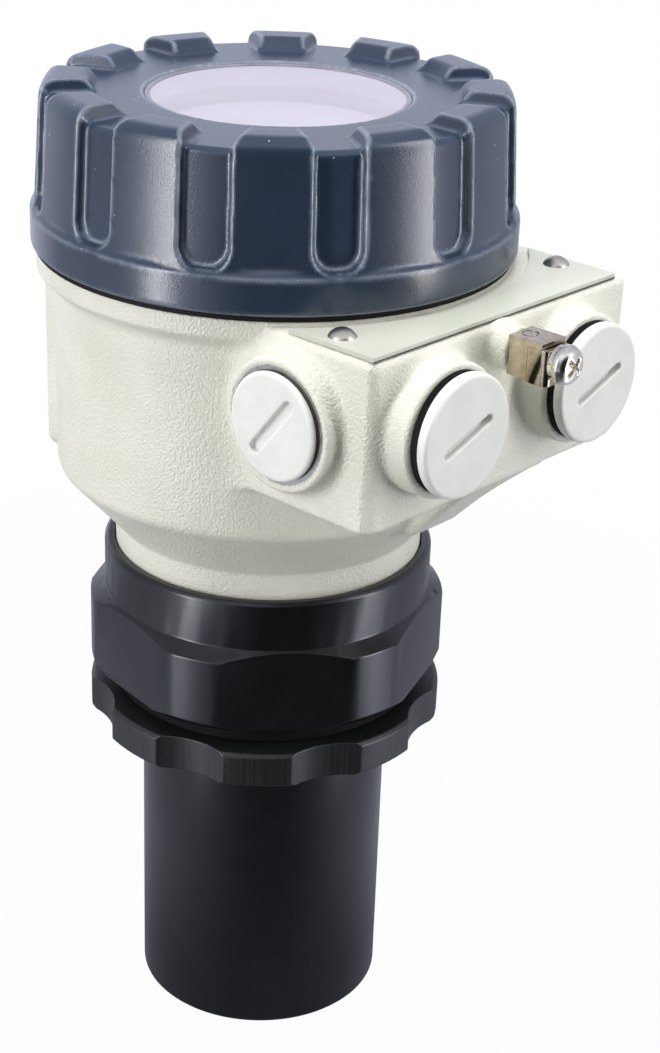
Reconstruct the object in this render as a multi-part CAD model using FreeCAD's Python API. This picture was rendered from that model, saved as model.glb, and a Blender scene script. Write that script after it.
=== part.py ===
import FreeCAD, Part
import math
import os

os.makedirs("parts", exist_ok=True)
vector = FreeCAD.Vector

# Ultrasonic level transmitter, in millimetres, +Z up along the sensor's axis.
# The origin is the centre of the sensing face at the foot of the tube.
# The front of the terminal box faces -Y.

# Fits
clearance = 0.3          # radial gap of a threaded or loose fit
overlap = 1.0            # how far a boss or rib is rooted in the wall behind it
round_share = 0.48       # most of a straight run that a rounded corner may take

# Sensor body, listed from the sensing face up
tube_radius = 27.5
tube_length = 66.0
tube_wall = 3.0
face_thickness = 4.0
face_chamfer = 0.8
thread_radius = 29.8     # major radius of the 2-inch pipe thread
thread_length = 16.9
thread_chamfer = 1.2
hex_across_flats = 72.8
hex_turned_radius = 39.0
hex_height = 18.7
hex_chamfer_height = 2.4
hex_foot_chamfer = 1.6
hex_angle = -9.2         # direction of one flat, degrees from +X
collar_radius = 35.8
collar_height = 10.8
collar_chamfer = 0.8

# Transducer stack inside the tube
matching_thickness = 3.0
piezo_radius = 20.0
piezo_thickness = 5.0
foam_thickness = 8.0
pot_height = 42.0
lead_radius = 1.8

# Lock nut and process seal on the pipe thread
nut_radius = 39.1
nut_height = 8.0
nut_lobes = 8
nut_angle = -3.1         # direction of one lobe, degrees from +X
nut_scallop_depth = 2.8
nut_scallop_radius = 16.7
nut_chamfer = 0.8
process_seal_height = 4.2
process_seal_radius = 33.6
nut_gap = 0.4

# Housing casting
neck_radius = 33.3
neck_wall = 4.3
neck_depth = 13.9        # how far the neck reaches down into the collar
neck_show = 5.5          # height of the neck above the collar
neck_round = 1.0
neck_seal_height = 1.5
cone_height = 13.6
body_radius = 45.5
body_height = 46.7       # from the top of the cone to the top of the flange
cone_edge_round = 2.0
flange_overhang = 3.5    # flange beyond the round body
flange_height = 4.4
flange_blend = 2.2
land_step = 3.0          # land inside the flange
land_height = 3.8
spigot_step = 4.2        # threaded spigot inside the land
spigot_wall = 3.3
spigot_height = 14.0
cavity_floor_drop = 0.5  # cavity floor below the top of the cone
cavity_step = 5.0
cavity_funnel = 7.0

# Rear pad of the casting
pad_half_width = 23.0
pad_proud = 1.5          # face of the pad beyond the round body
pad_drop = 6.5           # foot of the pad below the top of the cone
pad_corner = 3.3

# Terminal box of the casting
box_left = 36.6          # left side from the axis
box_right = 40.6         # right side from the axis
box_reach = 14.9         # front face beyond the round body
box_height = 34.3
box_drop = 0.9           # top of the box below the flange's top
box_wall = 5.0
box_corner_chamfer = 1.9
box_blend = 6.0          # concave blend between the box's side and the round body
keel_half_width = 6.2
keel_drop = 14.5         # depth of the keel below the box's underside

# Threaded cable entries
entry_drop = 15.6        # axes of the front entries below the top of the box
cable_entry_spacing = 40.4
cable_bore = 10.0
cable_boss_radius = 13.3
cable_boss_height = 5.8
cable_boss_flare = 1.6
conduit_bore = 10.3
conduit_drop = 16.5      # axes of the side entries below the top of the box
conduit_setback = 19.9   # axes of the side entries behind the front face
conduit_boss_radius = 13.4
conduit_boss_height = 4.2
conduit_boss_flare = 2.4
spot_face_radius = 11.8
spot_face_depth = 0.4
boss_round = 0.8

# Screwed plugs in the entries
cable_plug_radius = 12.2
cable_plug_head = 2.5
cable_plug_shank = 11.5
cable_seal_radius = 12.0
cable_seal_height = 1.3
cable_slot_length = 14.0
cable_slot_width = 1.8
cable_slot_angle = 20.0
conduit_plug_radius = 10.75
conduit_plug_head = 1.4
conduit_plug_shank = 12.0
conduit_seal_height = 0.35
conduit_slot_length = 14.6
conduit_slot_width = 2.3
conduit_slot_angle = 51.0
slot_depth = 1.5
plug_edge = 0.5

# Name plate and its rivets
plate_thickness = 1.0
plate_side_length = 22.5
plate_margin = 0.75
plate_right_margin = 3.6
plate_arc_gap = 3.5      # arc of the plate outside the flange
rivet_radius = 2.75
rivet_height = 1.7
rivet_shank_radius = 1.4
rivet_shank_length = 3.0
rivet_side = 4.3         # rivet from the plate's end
rivet_back = 12.4        # rivet from the box's front

# Earth terminal on the front of the box
earth_drop = 4.8         # screw axis below the top of the box
pillar_radius = 4.5
pillar_length = 4.5
pillar_flare = 1.0
strap_half_width = 3.6
strap_length = 4.6
strap_lip = 3.3          # top of the strap beyond its sides
strap_height = 7.8
strap_thickness = 1.1
saddle_length = 4.7
saddle_drop = 0.4        # foot of the saddle below the strap
saddle_bend = 1.4
mark_radius = 1.7        # ring stamped into the top of the strap
mark_width = 0.35
mark_depth = 0.2
earth_screw_radius = 2.0
earth_screw_depth = 8.0
earth_head_radius = 3.9
earth_head_height = 3.0
earth_head_round = 1.8
earth_washer_radius = 3.5
earth_washer_height = 1.0
earth_washer_gap = 0.9
cross_length = 4.4
cross_width = 0.9
cross_depth = 1.4
cross_angle = 45.0

# Cover
cover_seal_height = 1.0
cover_seal_proud = 0.2   # edge of the seal beyond the flange
rim_overhang = 1.1       # rim beyond the flange
rim_height = 8.6
rim_round = 1.0
cover_height = 29.8      # underside of the rim to the top face
rib_rise = 3.3           # ribs above the top face
rib_step = 1.1           # foot of the ribs inside the rim
rib_taper = 1.4          # crest of the ribs inside their foot
rib_count = 12
rib_angle = 13.1         # direction of one rib, degrees from +X
rib_crest = 9.0          # radial length of a rib's top
rib_inner_slope = 2.2
rib_crown_round = 2.4
groove_low_depth = 2.4
groove_high_depth = 2.1
groove_width = 9.7
groove_crown_round = 1.6
cover_plate = 3.8
land_depth = 4.5         # depth of the cover's counterbore over the land

# Window in the cover
window_radius = 27.0
window_flange = 4.0
window_flange_height = 3.0
window_proud = 0.4
window_edge = 0.7
window_gasket_height = 0.7
retainer_height = 2.0
retainer_width = 6.0
hub_wall = 4.0

# Electronics under the window
deck_drop = 8.0          # top of the deck below the top of the spigot
deck_thickness = 2.5
deck_block_length = 40.0
deck_block_width = 26.0
deck_block_height = 4.0
deck_block_angle = 17.0
module_gap = 6.5         # module inside the cavity's wall
module_height = 18.0
post_count = 3
post_radius = 2.2
post_inset = 3.0         # axes of the posts from the cavity's wall
post_angle = 90.0
module_screw_radius = 1.2
module_screw_head_radius = 2.2
module_screw_head_height = 1.6
module_screw_depth = 8.0

# Terminals inside the box
board_standoff = 2.0
board_standoff_radius = 2.6
board_half_width = 25.0
board_length = 24.0
board_thickness = 1.6
board_margin = 2.5       # front edge of the board from the box's inner wall
board_screw_inset = 4.0
board_screw_span = 12.0   # between the front and back rows of board screws
board_screw_radius = 1.1
board_screw_head_radius = 2.0
board_screw_head_height = 1.4
terminal_count = 6
terminal_pitch = 6.0
terminal_depth = 10.0
terminal_height = 12.0
terminal_setback = 14.0  # front of the block from the board's front edge
terminal_screw_radius = 1.6
terminal_screw_depth = 4.0
terminal_screw_sunk = 0.8
terminal_slot_width = 0.6
wire_hole_radius = 1.4
wire_hole_depth = 6.0
wire_hole_height = 4.5

# Heights and radii that follow from the sizes above
hex_foot = tube_length + thread_length
hex_top = hex_foot + hex_height
collar_top = hex_top + collar_height
neck_foot = collar_top - neck_depth
neck_seat = neck_foot - neck_seal_height
neck_top = collar_top + neck_show
cone_top = neck_top + cone_height
flange_top = cone_top + body_height
flange_foot = flange_top - flange_height
land_top = flange_top + land_height
spigot_top = land_top + spigot_height
box_top = flange_top - box_drop
box_foot = box_top - box_height
entry_z = box_top - entry_drop
conduit_z = box_top - conduit_drop
earth_z = box_top - earth_drop
cover_foot = flange_top + cover_seal_height
rim_top = cover_foot + rim_height
cover_top = cover_foot + cover_height
rib_top = cover_top + rib_rise
plate_foot = cover_top - cover_plate
seal_foot = hex_foot - process_seal_height
nut_top = seal_foot - nut_gap
nut_foot = nut_top - nut_height
flange_radius = body_radius + flange_overhang
land_radius = flange_radius - land_step
spigot_radius = land_radius - spigot_step
box_front = body_radius + box_reach
pad_face = body_radius + pad_proud
cover_seal_radius = flange_radius + cover_seal_proud
rim_radius = flange_radius + rim_overhang
rib_low_radius = rim_radius - rib_step
rib_high_radius = rib_low_radius - rib_taper
rib_inner_radius = rib_high_radius - rib_crest
groove_low_radius = rib_low_radius - groove_low_depth
groove_high_radius = rib_high_radius - groove_high_depth
plate_arc_radius = flange_radius + plate_arc_gap
tube_bore = tube_radius - tube_wall
neck_bore = neck_radius - neck_wall
cavity_radius = spigot_radius - spigot_wall
module_radius = cavity_radius - module_gap
cavity_floor = cone_top - cavity_floor_drop
box_floor = box_foot + box_wall
deck_top = spigot_top - deck_drop
deck_foot = deck_top - deck_thickness
cover_bore = spigot_radius + clearance
plate_left = plate_margin - box_left
plate_right = box_right - plate_right_margin
pillar_face = box_front + pillar_length
strap_face = pillar_face + strap_length
saddle_face = strap_face + saddle_length


def rounded_wire(corners, place):
    # closed outline of straight runs; a corner's third number is its rounding
    flat = [vector(c[0], c[1], 0) for c in corners]
    ends = []
    arcs = []
    for i, corner in enumerate(corners):
        here = flat[i]
        back = flat[i - 1] - here
        ahead = flat[(i + 1) % len(flat)] - here
        if len(corner) < 3:
            ends.append((here, here))
            arcs.append(None)
            continue
        half = back.getAngle(ahead) / 2
        reach = min(corner[2] / math.tan(half), round_share * min(back.Length, ahead.Length))
        radius = reach * math.tan(half)
        unit_back = back / back.Length
        unit_ahead = ahead / ahead.Length
        inward = unit_back + unit_ahead
        centre = here + inward / inward.Length * (radius / math.sin(half))
        middle = centre + (here - centre) / (here - centre).Length * radius
        start = here + unit_back * reach
        stop = here + unit_ahead * reach
        ends.append((start, stop))
        arcs.append(Part.Arc(place(start), place(middle), place(stop)).toShape())
    edges = []
    for i in range(len(corners)):
        if arcs[i]:
            edges.append(arcs[i])
        start = place(ends[i][1])
        stop = place(ends[(i + 1) % len(ends)][0])
        if (stop - start).Length > 1e-6:
            edges.append(Part.LineSegment(start, stop).toShape())
    return Part.Wire(edges)


def turned(corners, angle=360):
    # solid of revolution about Z from a half section of (radius, height) corners
    wire = rounded_wire(corners, lambda p: vector(p.x, 0, p.y))
    return Part.Face(wire).revolve(vector(0, 0, 0), vector(0, 0, 1), angle)


def extruded(corners, low, high):
    # upright prism on an outline of (x, y) corners
    wire = rounded_wire(corners, lambda p: vector(p.x, p.y, low))
    return Part.Face(wire).extrude(vector(0, 0, high - low))


def disc(radius, low, high):
    return Part.makeCylinder(radius, high - low, vector(0, 0, low))


def ring(inner, outer, low, high):
    return disc(outer, low, high).cut(disc(inner, low, high))


def block(low, high):
    size = vector(*high) - vector(*low)
    return Part.makeBox(size.x, size.y, size.z, vector(*low))


def stood(shape, point, direction):
    # carry a piece made along +Z to a point, with +Z along the direction
    turn = FreeCAD.Rotation(vector(0, 0, 1), vector(*direction))
    placed = shape.copy()
    placed.Placement = FreeCAD.Placement(vector(*point), turn).multiply(shape.Placement)
    return placed


def around(shape, angle):
    turned_copy = shape.copy()
    turned_copy.rotate(vector(0, 0, 0), vector(0, 0, 1), angle)
    return turned_copy


def joined(shapes):
    whole = shapes[0]
    for shape in shapes[1:]:
        whole = whole.fuse(shape)
    return whole.removeSplitter()


def save(node, shape):
    shape.exportStep("parts/" + node + ".step")


# Places of the entries: a point on the box's wall and the outward direction
cable_entries = {
    "left": ((-cable_entry_spacing / 2, -box_front, entry_z), (0, -1, 0)),
    "right": ((cable_entry_spacing / 2, -box_front, entry_z), (0, -1, 0)),
}
conduit_entries = {
    "left": ((-box_left, conduit_setback - box_front, conduit_z), (-1, 0, 0)),
    "right": ((box_right, conduit_setback - box_front, conduit_z), (1, 0, 0)),
}


def hex_section(low, high):
    across = hex_across_flats / 2 / math.cos(math.pi / 6)
    corners = []
    for k in range(6):
        angle = math.radians(hex_angle + 30 + 60 * k)
        corners.append((across * math.cos(angle), across * math.sin(angle)))
    return extruded(corners, low, high)


def sensor_body():
    turned_hex = turned([
        (0, hex_foot),
        (hex_turned_radius - hex_foot_chamfer, hex_foot),
        (hex_turned_radius, hex_foot + hex_foot_chamfer),
        (hex_turned_radius, hex_top - hex_chamfer_height),
        (collar_radius, hex_top),
        (0, hex_top),
    ])
    grip = turned_hex.common(hex_section(hex_foot, hex_top))
    shank = turned([
        (0, 0),
        (tube_radius - face_chamfer, 0),
        (tube_radius, face_chamfer),
        (tube_radius, tube_length),
        (thread_radius - thread_chamfer, tube_length),
        (thread_radius, tube_length + thread_chamfer),
        (thread_radius, hex_foot + overlap),
        (0, hex_foot + overlap),
    ])
    collar = turned([
        (0, hex_top - overlap),
        (collar_radius, hex_top - overlap),
        (collar_radius, collar_top - collar_chamfer),
        (collar_radius - collar_chamfer, collar_top),
        (0, collar_top),
    ])
    bore = disc(tube_bore, face_thickness, collar_top)
    socket = disc(neck_radius + clearance, neck_seat, collar_top)
    return joined([shank, grip, collar]).cut(bore).cut(socket)


def transducer():
    matching_top = face_thickness + matching_thickness
    piezo_top = matching_top + piezo_thickness
    foam_top = piezo_top + foam_thickness
    pot_top = foam_top + pot_height
    stack_radius = tube_bore - clearance
    foam = disc(stack_radius, matching_top, foam_top)
    save("matching_layer", disc(stack_radius, face_thickness, matching_top))
    save("piezo_disc", disc(piezo_radius, matching_top, piezo_top))
    save("backing_foam", foam.cut(disc(piezo_radius, matching_top, piezo_top)))
    save("sensor_pot", disc(stack_radius, foam_top, pot_top))
    save("sensor_lead", disc(lead_radius, pot_top, deck_foot - module_height))


def lock_nut():
    blank = turned([
        (thread_radius + clearance, nut_foot),
        (nut_radius - nut_chamfer, nut_foot),
        (nut_radius, nut_foot + nut_chamfer),
        (nut_radius, nut_top - nut_chamfer),
        (nut_radius - nut_chamfer, nut_top),
        (thread_radius + clearance, nut_top),
    ])
    reach = nut_radius - nut_scallop_depth + nut_scallop_radius
    scallop = Part.makeCylinder(nut_scallop_radius, nut_height, vector(reach, 0, nut_foot))
    step = 360 / nut_lobes
    cuts = [around(scallop, nut_angle + step * (k + 0.5)) for k in range(nut_lobes)]
    return blank.cut(cuts)


def process_seal():
    return ring(thread_radius + clearance, process_seal_radius, seal_foot, hex_foot)


def neck_seal():
    return ring(neck_bore, neck_radius, neck_seat, neck_foot)


def housing_round_body():
    return turned([
        (0, neck_foot),
        (neck_radius, neck_foot),
        (neck_radius, neck_top, neck_round),
        (body_radius, cone_top, cone_edge_round),
        (body_radius, flange_foot - flange_blend, flange_blend),
        (flange_radius, flange_foot, boss_round),
        (flange_radius, flange_top),
        (land_radius, flange_top),
        (land_radius, land_top),
        (spigot_radius, land_top),
        (spigot_radius, spigot_top),
        (0, spigot_top),
    ])


def housing_cavity():
    return turned([
        (0, neck_foot),
        (neck_bore, neck_foot),
        (neck_bore, cavity_floor - cavity_funnel),
        (cavity_radius - cavity_step, cavity_floor),
        (cavity_radius, cavity_floor),
        (cavity_radius, spigot_top),
        (0, spigot_top),
    ])


def blend_points(half):
    # concave blend of the box's side into the round body: its start, its middle and its foot
    reach = body_radius + box_blend
    side = half + box_blend
    start = -math.sqrt(reach ** 2 - side ** 2)
    share = body_radius / reach
    foot = (side * share, start * share)
    lean = math.atan2(foot[1] - start, foot[0] - side)
    bend = (math.pi + lean % (2 * math.pi)) / 2
    middle = (side + box_blend * math.cos(bend), start + box_blend * math.sin(bend))
    return [(half, start), middle, foot]


def terminal_box():
    # plan outline with chamfered front corners and concave blends into the round body
    front = -box_front
    shoulder = front + box_corner_chamfer
    right = [vector(x, y, box_foot) for x, y in blend_points(box_right)]
    left = [vector(-x, y, box_foot) for x, y in blend_points(box_left)]
    corners = [(-box_left, shoulder), (box_corner_chamfer - box_left, front),
               (box_right - box_corner_chamfer, front), (box_right, shoulder)]
    path = [left[0]] + [vector(x, y, box_foot) for x, y in corners] + [right[0]]
    edges = [Part.LineSegment(a, b).toShape() for a, b in zip(path, path[1:])]
    edges.append(Part.Arc(*right).toShape())
    edges.append(Part.LineSegment(right[2], left[2]).toShape())
    edges.append(Part.Arc(*reversed(left)).toShape())
    return Part.Face(Part.Wire(edges)).extrude(vector(0, 0, box_height))


def keel():
    # rib under the box: its underside rises at 45 degrees to the front face
    foot = box_foot - keel_drop
    profile = [(-box_front, box_foot), (keel_drop - box_front, foot), (-neck_radius, foot),
               (-neck_radius, box_foot + overlap), (-box_front, box_foot + overlap)]
    points = [vector(-keel_half_width, y, z) for y, z in profile]
    face = Part.Face(Part.makePolygon(points + points[:1]))
    return face.extrude(vector(2 * keel_half_width, 0, 0))


def rear_pad():
    foot = cone_top - pad_drop
    outline = [(-pad_half_width, foot, pad_corner), (pad_half_width, foot, pad_corner),
               (pad_half_width, flange_foot), (-pad_half_width, flange_foot)]
    wire = rounded_wire(outline, lambda p: vector(p.x, neck_radius, p.y))
    return Part.Face(wire).extrude(vector(0, pad_face - neck_radius, 0))


def entry_boss(radius, height, flare):
    # round boss whose foot flares into the wall
    profile = [(0, -overlap), (radius + flare, -overlap), (radius + flare, 0),
               (radius, 0, flare), (radius, height, boss_round), (0, height)]
    return turned(profile)


def earth_pillar():
    flare = min(pillar_flare, earth_drop - pillar_radius)
    pillar = entry_boss(pillar_radius, pillar_length, flare)
    return stood(pillar, (0, -box_front, earth_z), (0, -1, 0))


def board_standoff_places():
    front = box_wall + board_margin + board_screw_inset - box_front
    back = front + board_screw_span
    side = board_half_width - board_screw_inset
    return [(x, y) for x in (-side, side) for y in (front, back)]


def rivet_places():
    places = (plate_left + rivet_side, plate_right - rivet_side)
    return [(x, rivet_back - box_front) for x in places]


def housing():
    solids = [housing_round_body(), terminal_box(), keel(), rear_pad(), earth_pillar()]
    cable_boss = entry_boss(cable_boss_radius, cable_boss_height, cable_boss_flare)
    conduit_flare = min(conduit_boss_flare, conduit_drop - conduit_boss_radius)
    conduit_boss = entry_boss(conduit_boss_radius, conduit_boss_height, conduit_flare)
    cable_hole = disc(cable_bore, -box_wall - overlap, cable_boss_height)
    conduit_hole = disc(conduit_bore, -box_wall - overlap, conduit_boss_height)
    spot_face = disc(spot_face_radius, conduit_boss_height - spot_face_depth, conduit_boss_height)
    inside = block((box_wall - box_left, box_wall - box_front, box_floor),
                   (box_right - box_wall, 0, box_top - box_wall))
    cuts = [housing_cavity(), inside]
    for point, direction in cable_entries.values():
        solids.append(stood(cable_boss, point, direction))
        cuts.append(stood(cable_hole, point, direction))
    for point, direction in conduit_entries.values():
        solids.append(stood(conduit_boss, point, direction))
        cuts.append(stood(conduit_hole, point, direction))
        cuts.append(stood(spot_face, point, direction))
    screw_hole = disc(earth_screw_radius + clearance, 0, earth_screw_depth + clearance)
    cuts.append(stood(screw_hole, (0, -pillar_face, earth_z), (0, 1, 0)))
    for x, y in rivet_places():
        hole = disc(rivet_shank_radius, box_top - rivet_shank_length, box_top)
        hole.translate(vector(x, y, 0))
        cuts.append(hole)
    shell = joined(solids).cut(cuts)
    standoffs = []
    for x, y in board_standoff_places():
        standoff = disc(board_standoff_radius, box_floor - overlap, box_floor + board_standoff)
        standoff = standoff.cut(disc(board_screw_radius, box_floor, box_floor + board_standoff))
        standoff.translate(vector(x, y, 0))
        standoffs.append(standoff)
    return joined([shell] + standoffs)


def slot(length, width, angle, face):
    # round-ended driver slot sunk into the face at the given height
    corners = [(x, y, width / 2) for x, y in (
        (-length / 2, -width / 2), (length / 2, -width / 2),
        (length / 2, width / 2), (-length / 2, width / 2))]
    return around(extruded(corners, face - slot_depth, face), angle)


def plug(head_radius, head_height, shank_radius, shank_length):
    return turned([
        (0, -shank_length),
        (shank_radius - plug_edge, -shank_length),
        (shank_radius, plug_edge - shank_length),
        (shank_radius, 0),
        (head_radius, 0),
        (head_radius, head_height, plug_edge),
        (0, head_height),
    ])


def lifted(point, direction, height):
    return tuple(p + d * height for p, d in zip(point, direction))


def cable_plugs():
    body = plug(cable_plug_radius, cable_plug_head, cable_bore - clearance, cable_plug_shank)
    body = body.cut(slot(cable_slot_length, cable_slot_width, cable_slot_angle, cable_plug_head))
    seal = ring(cable_bore, cable_seal_radius, -cable_seal_height, 0)
    for side, (point, direction) in cable_entries.items():
        seat = lifted(point, direction, cable_boss_height + cable_seal_height)
        save("cable_plug_" + side, stood(body, seat, direction))
        save("cable_plug_seal_" + side, stood(seal, seat, direction))


def conduit_plugs():
    floor = conduit_boss_height - spot_face_depth
    seal = ring(conduit_bore, conduit_plug_radius, -conduit_seal_height, 0)
    blank = plug(conduit_plug_radius, conduit_plug_head, conduit_bore - clearance, conduit_plug_shank)
    for side, (point, direction) in conduit_entries.items():
        seat = lifted(point, direction, floor + conduit_seal_height)
        cut = slot(conduit_slot_length, conduit_slot_width, conduit_slot_angle - 90,
                   conduit_plug_head)
        save("conduit_plug_" + side, stood(blank.cut(cut), seat, direction))
        save("conduit_plug_seal_" + side, stood(seal, seat, direction))


def nameplate():
    front = plate_margin - box_front
    back = front + plate_side_length
    plate = block((plate_left, front, box_top), (plate_right, back, box_top + plate_thickness))
    plate = plate.cut(disc(plate_arc_radius, box_top, box_top + plate_thickness))
    for x, y in rivet_places():
        hole = disc(rivet_shank_radius, box_top, box_top + plate_thickness)
        hole.translate(vector(x, y, 0))
        plate = plate.cut(hole)
    return plate


def nameplate_rivets():
    face = box_top + plate_thickness
    curve = (rivet_radius ** 2 + rivet_height ** 2) / (2 * rivet_height)
    ball = Part.makeSphere(curve, vector(0, 0, face + rivet_height - curve))
    dome = ball.common(disc(rivet_radius, face, face + rivet_height))
    shank = disc(rivet_shank_radius, box_top - rivet_shank_length, face)
    rivet = joined([dome, shank])
    rivets = []
    for x, y in rivet_places():
        copy = rivet.copy()
        copy.translate(vector(x, y, 0))
        rivets.append(copy)
    return Part.makeCompound(rivets)


def earth_strap():
    # folded box strap on the pillar, open at its foot and at the front, with a lip over the saddle
    low = earth_z - strap_height / 2
    high = earth_z + strap_height / 2
    side = strap_half_width
    inner = side - strap_thickness
    back = -pillar_face - strap_thickness
    strap = block((-side, -strap_face, low), (side, -pillar_face, high))
    strap = strap.cut(block((-inner, -strap_face, low), (inner, back, high - strap_thickness)))
    lip = block((-side, -strap_face - strap_lip, high - strap_thickness), (side, -strap_face, high))
    strap = joined([strap, lip])
    mark = ring(mark_radius - mark_width, mark_radius, high - mark_depth, high)
    mark.translate(vector(0, -(pillar_face + strap_face) / 2, 0))
    hole = disc(earth_screw_radius + clearance, 0, strap_thickness)
    return strap.cut([mark, stood(hole, (0, -pillar_face, earth_z), (0, -1, 0))])


def earth_saddle():
    # U-shaped wire saddle with bent front corners, under the screw's head
    low = earth_z - strap_height / 2 - saddle_drop
    high = earth_z + strap_height / 2 - strap_thickness
    side = strap_half_width
    inner = side - strap_thickness
    corners = [(-side, -saddle_face, saddle_bend), (side, -saddle_face, saddle_bend),
               (side, -strap_face), (-side, -strap_face)]
    hollow = [(-inner, strap_thickness - saddle_face), (inner, strap_thickness - saddle_face),
              (inner, -strap_face), (-inner, -strap_face)]
    saddle = extruded(corners, low, high).cut(extruded(hollow, low, high))
    hole = disc(earth_screw_radius + clearance, -strap_thickness, 0)
    return saddle.cut(stood(hole, (0, -saddle_face, earth_z), (0, -1, 0)))


def earth_spring_washer():
    washer = ring(earth_screw_radius + clearance, earth_washer_radius, 0, earth_washer_height)
    gap = block((0, -earth_washer_gap / 2, 0),
                (earth_washer_radius, earth_washer_gap / 2, earth_washer_height))
    return stood(washer.cut(gap), (0, -saddle_face, earth_z), (0, -1, 0))


def earth_screw():
    shank_length = saddle_face + earth_washer_height - pillar_face + earth_screw_depth
    profile = [(0, -shank_length), (earth_screw_radius, -shank_length), (earth_screw_radius, 0),
               (earth_head_radius, 0), (earth_head_radius, earth_head_height, earth_head_round),
               (0, earth_head_height)]
    screw = turned(profile)
    for angle in (cross_angle, cross_angle + 90):
        arm = block((-cross_length / 2, -cross_width / 2, earth_head_height - cross_depth),
                    (cross_length / 2, cross_width / 2, earth_head_height))
        screw = screw.cut(around(arm, angle))
    return stood(screw, (0, -saddle_face - earth_washer_height, earth_z), (0, -1, 0))


def cover_core():
    # cover without its ribs: rim, wall, top plate and the hub that holds the window
    hub_bore = window_radius + window_flange + clearance
    hub_foot = plate_foot - window_gasket_height - window_flange_height - retainer_height
    land = cover_foot + land_depth
    return turned([
        (land_radius + 2 * clearance, cover_foot),
        (rim_radius, cover_foot, rim_round),
        (rim_radius, rim_top, rim_round),
        (groove_low_radius, rim_top + overlap, rim_round),
        (groove_high_radius, cover_top, groove_crown_round),
        (window_radius, cover_top),
        (window_radius, plate_foot),
        (hub_bore, plate_foot),
        (hub_bore, hub_foot),
        (hub_bore + hub_wall, hub_foot),
        (hub_bore + hub_wall, plate_foot),
        (cover_bore, plate_foot),
        (cover_bore, land),
        (land_radius + 2 * clearance, land),
    ])


def cover_ribs():
    # ring at rib height, parted by grooves whose lower ends are half round
    root = groove_high_radius - overlap
    band = turned([
        (root, rim_top - overlap),
        (rib_low_radius, rim_top - overlap),
        (rib_high_radius, rib_top, rib_crown_round),
        (rib_inner_radius, rib_top, rim_round),
        (rib_inner_radius - rib_inner_slope, cover_top - overlap),
        (root, cover_top - overlap),
    ])
    half = groove_width / 2
    low = rim_top + overlap / 2
    outline = [vector(0, -half, low + half), vector(0, 0, low), vector(0, half, low + half)]
    top = rib_top + overlap
    edges = [
        Part.Arc(*outline).toShape(),
        Part.LineSegment(outline[2], vector(0, half, top)).toShape(),
        Part.LineSegment(vector(0, half, top), vector(0, -half, top)).toShape(),
        Part.LineSegment(vector(0, -half, top), outline[0]).toShape(),
    ]
    groove = Part.Face(Part.Wire(edges)).extrude(vector(rim_radius, 0, 0))
    step = 360 / rib_count
    return band.cut([around(groove, rib_angle + step * (k + 0.5)) for k in range(rib_count)])


def cover():
    return joined([cover_core(), cover_ribs()])


def cover_seal():
    return ring(land_radius + clearance, cover_seal_radius, flange_top, cover_foot)


def window_pieces():
    flange = window_radius + window_flange
    gasket_foot = plate_foot - window_gasket_height
    flange_foot_z = gasket_foot - window_flange_height
    glass_top = cover_top + window_proud
    glass_radius = window_radius - clearance
    save("window", turned([
        (0, flange_foot_z),
        (flange, flange_foot_z),
        (flange, gasket_foot),
        (glass_radius, gasket_foot),
        (glass_radius, glass_top - window_edge),
        (glass_radius - window_edge, glass_top),
        (0, glass_top),
    ]))
    save("window_gasket", ring(window_radius, flange, gasket_foot, plate_foot))
    save("window_retainer", ring(flange - retainer_width, flange,
                                 flange_foot_z - retainer_height, flange_foot_z))


def module_post_places():
    reach = cavity_radius - post_inset
    places = []
    for k in range(post_count):
        angle = math.radians(post_angle + 360 / post_count * k)
        places.append((reach * math.cos(angle), reach * math.sin(angle)))
    return places


def electronics():
    deck = disc(cavity_radius - clearance, deck_foot, deck_top)
    lump = block((-deck_block_length / 2, -deck_block_width / 2, deck_top - overlap),
                 (deck_block_length / 2, deck_block_width / 2, deck_top + deck_block_height))
    deck = joined([deck, around(lump, deck_block_angle)])
    posts = []
    screws = []
    screw = turned([
        (0, deck_top - module_screw_depth),
        (module_screw_radius, deck_top - module_screw_depth),
        (module_screw_radius, deck_top),
        (module_screw_head_radius, deck_top),
        (module_screw_head_radius, deck_top + module_screw_head_height, boss_round),
        (0, deck_top + module_screw_head_height),
    ])
    post = disc(post_radius, cavity_floor, deck_foot)
    post = post.cut(disc(module_screw_radius, deck_top - module_screw_depth, deck_foot))
    hole = disc(module_screw_radius, deck_foot, deck_top)
    for x, y in module_post_places():
        place = vector(x, y, 0)
        deck = deck.cut(hole.translated(place))
        posts.append(post.translated(place))
        screws.append(screw.translated(place))
    save("module_deck", deck)
    save("module_posts", Part.makeCompound(posts))
    save("module_screws", Part.makeCompound(screws))
    save("electronics_module", disc(module_radius, deck_foot - module_height, deck_foot))


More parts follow.
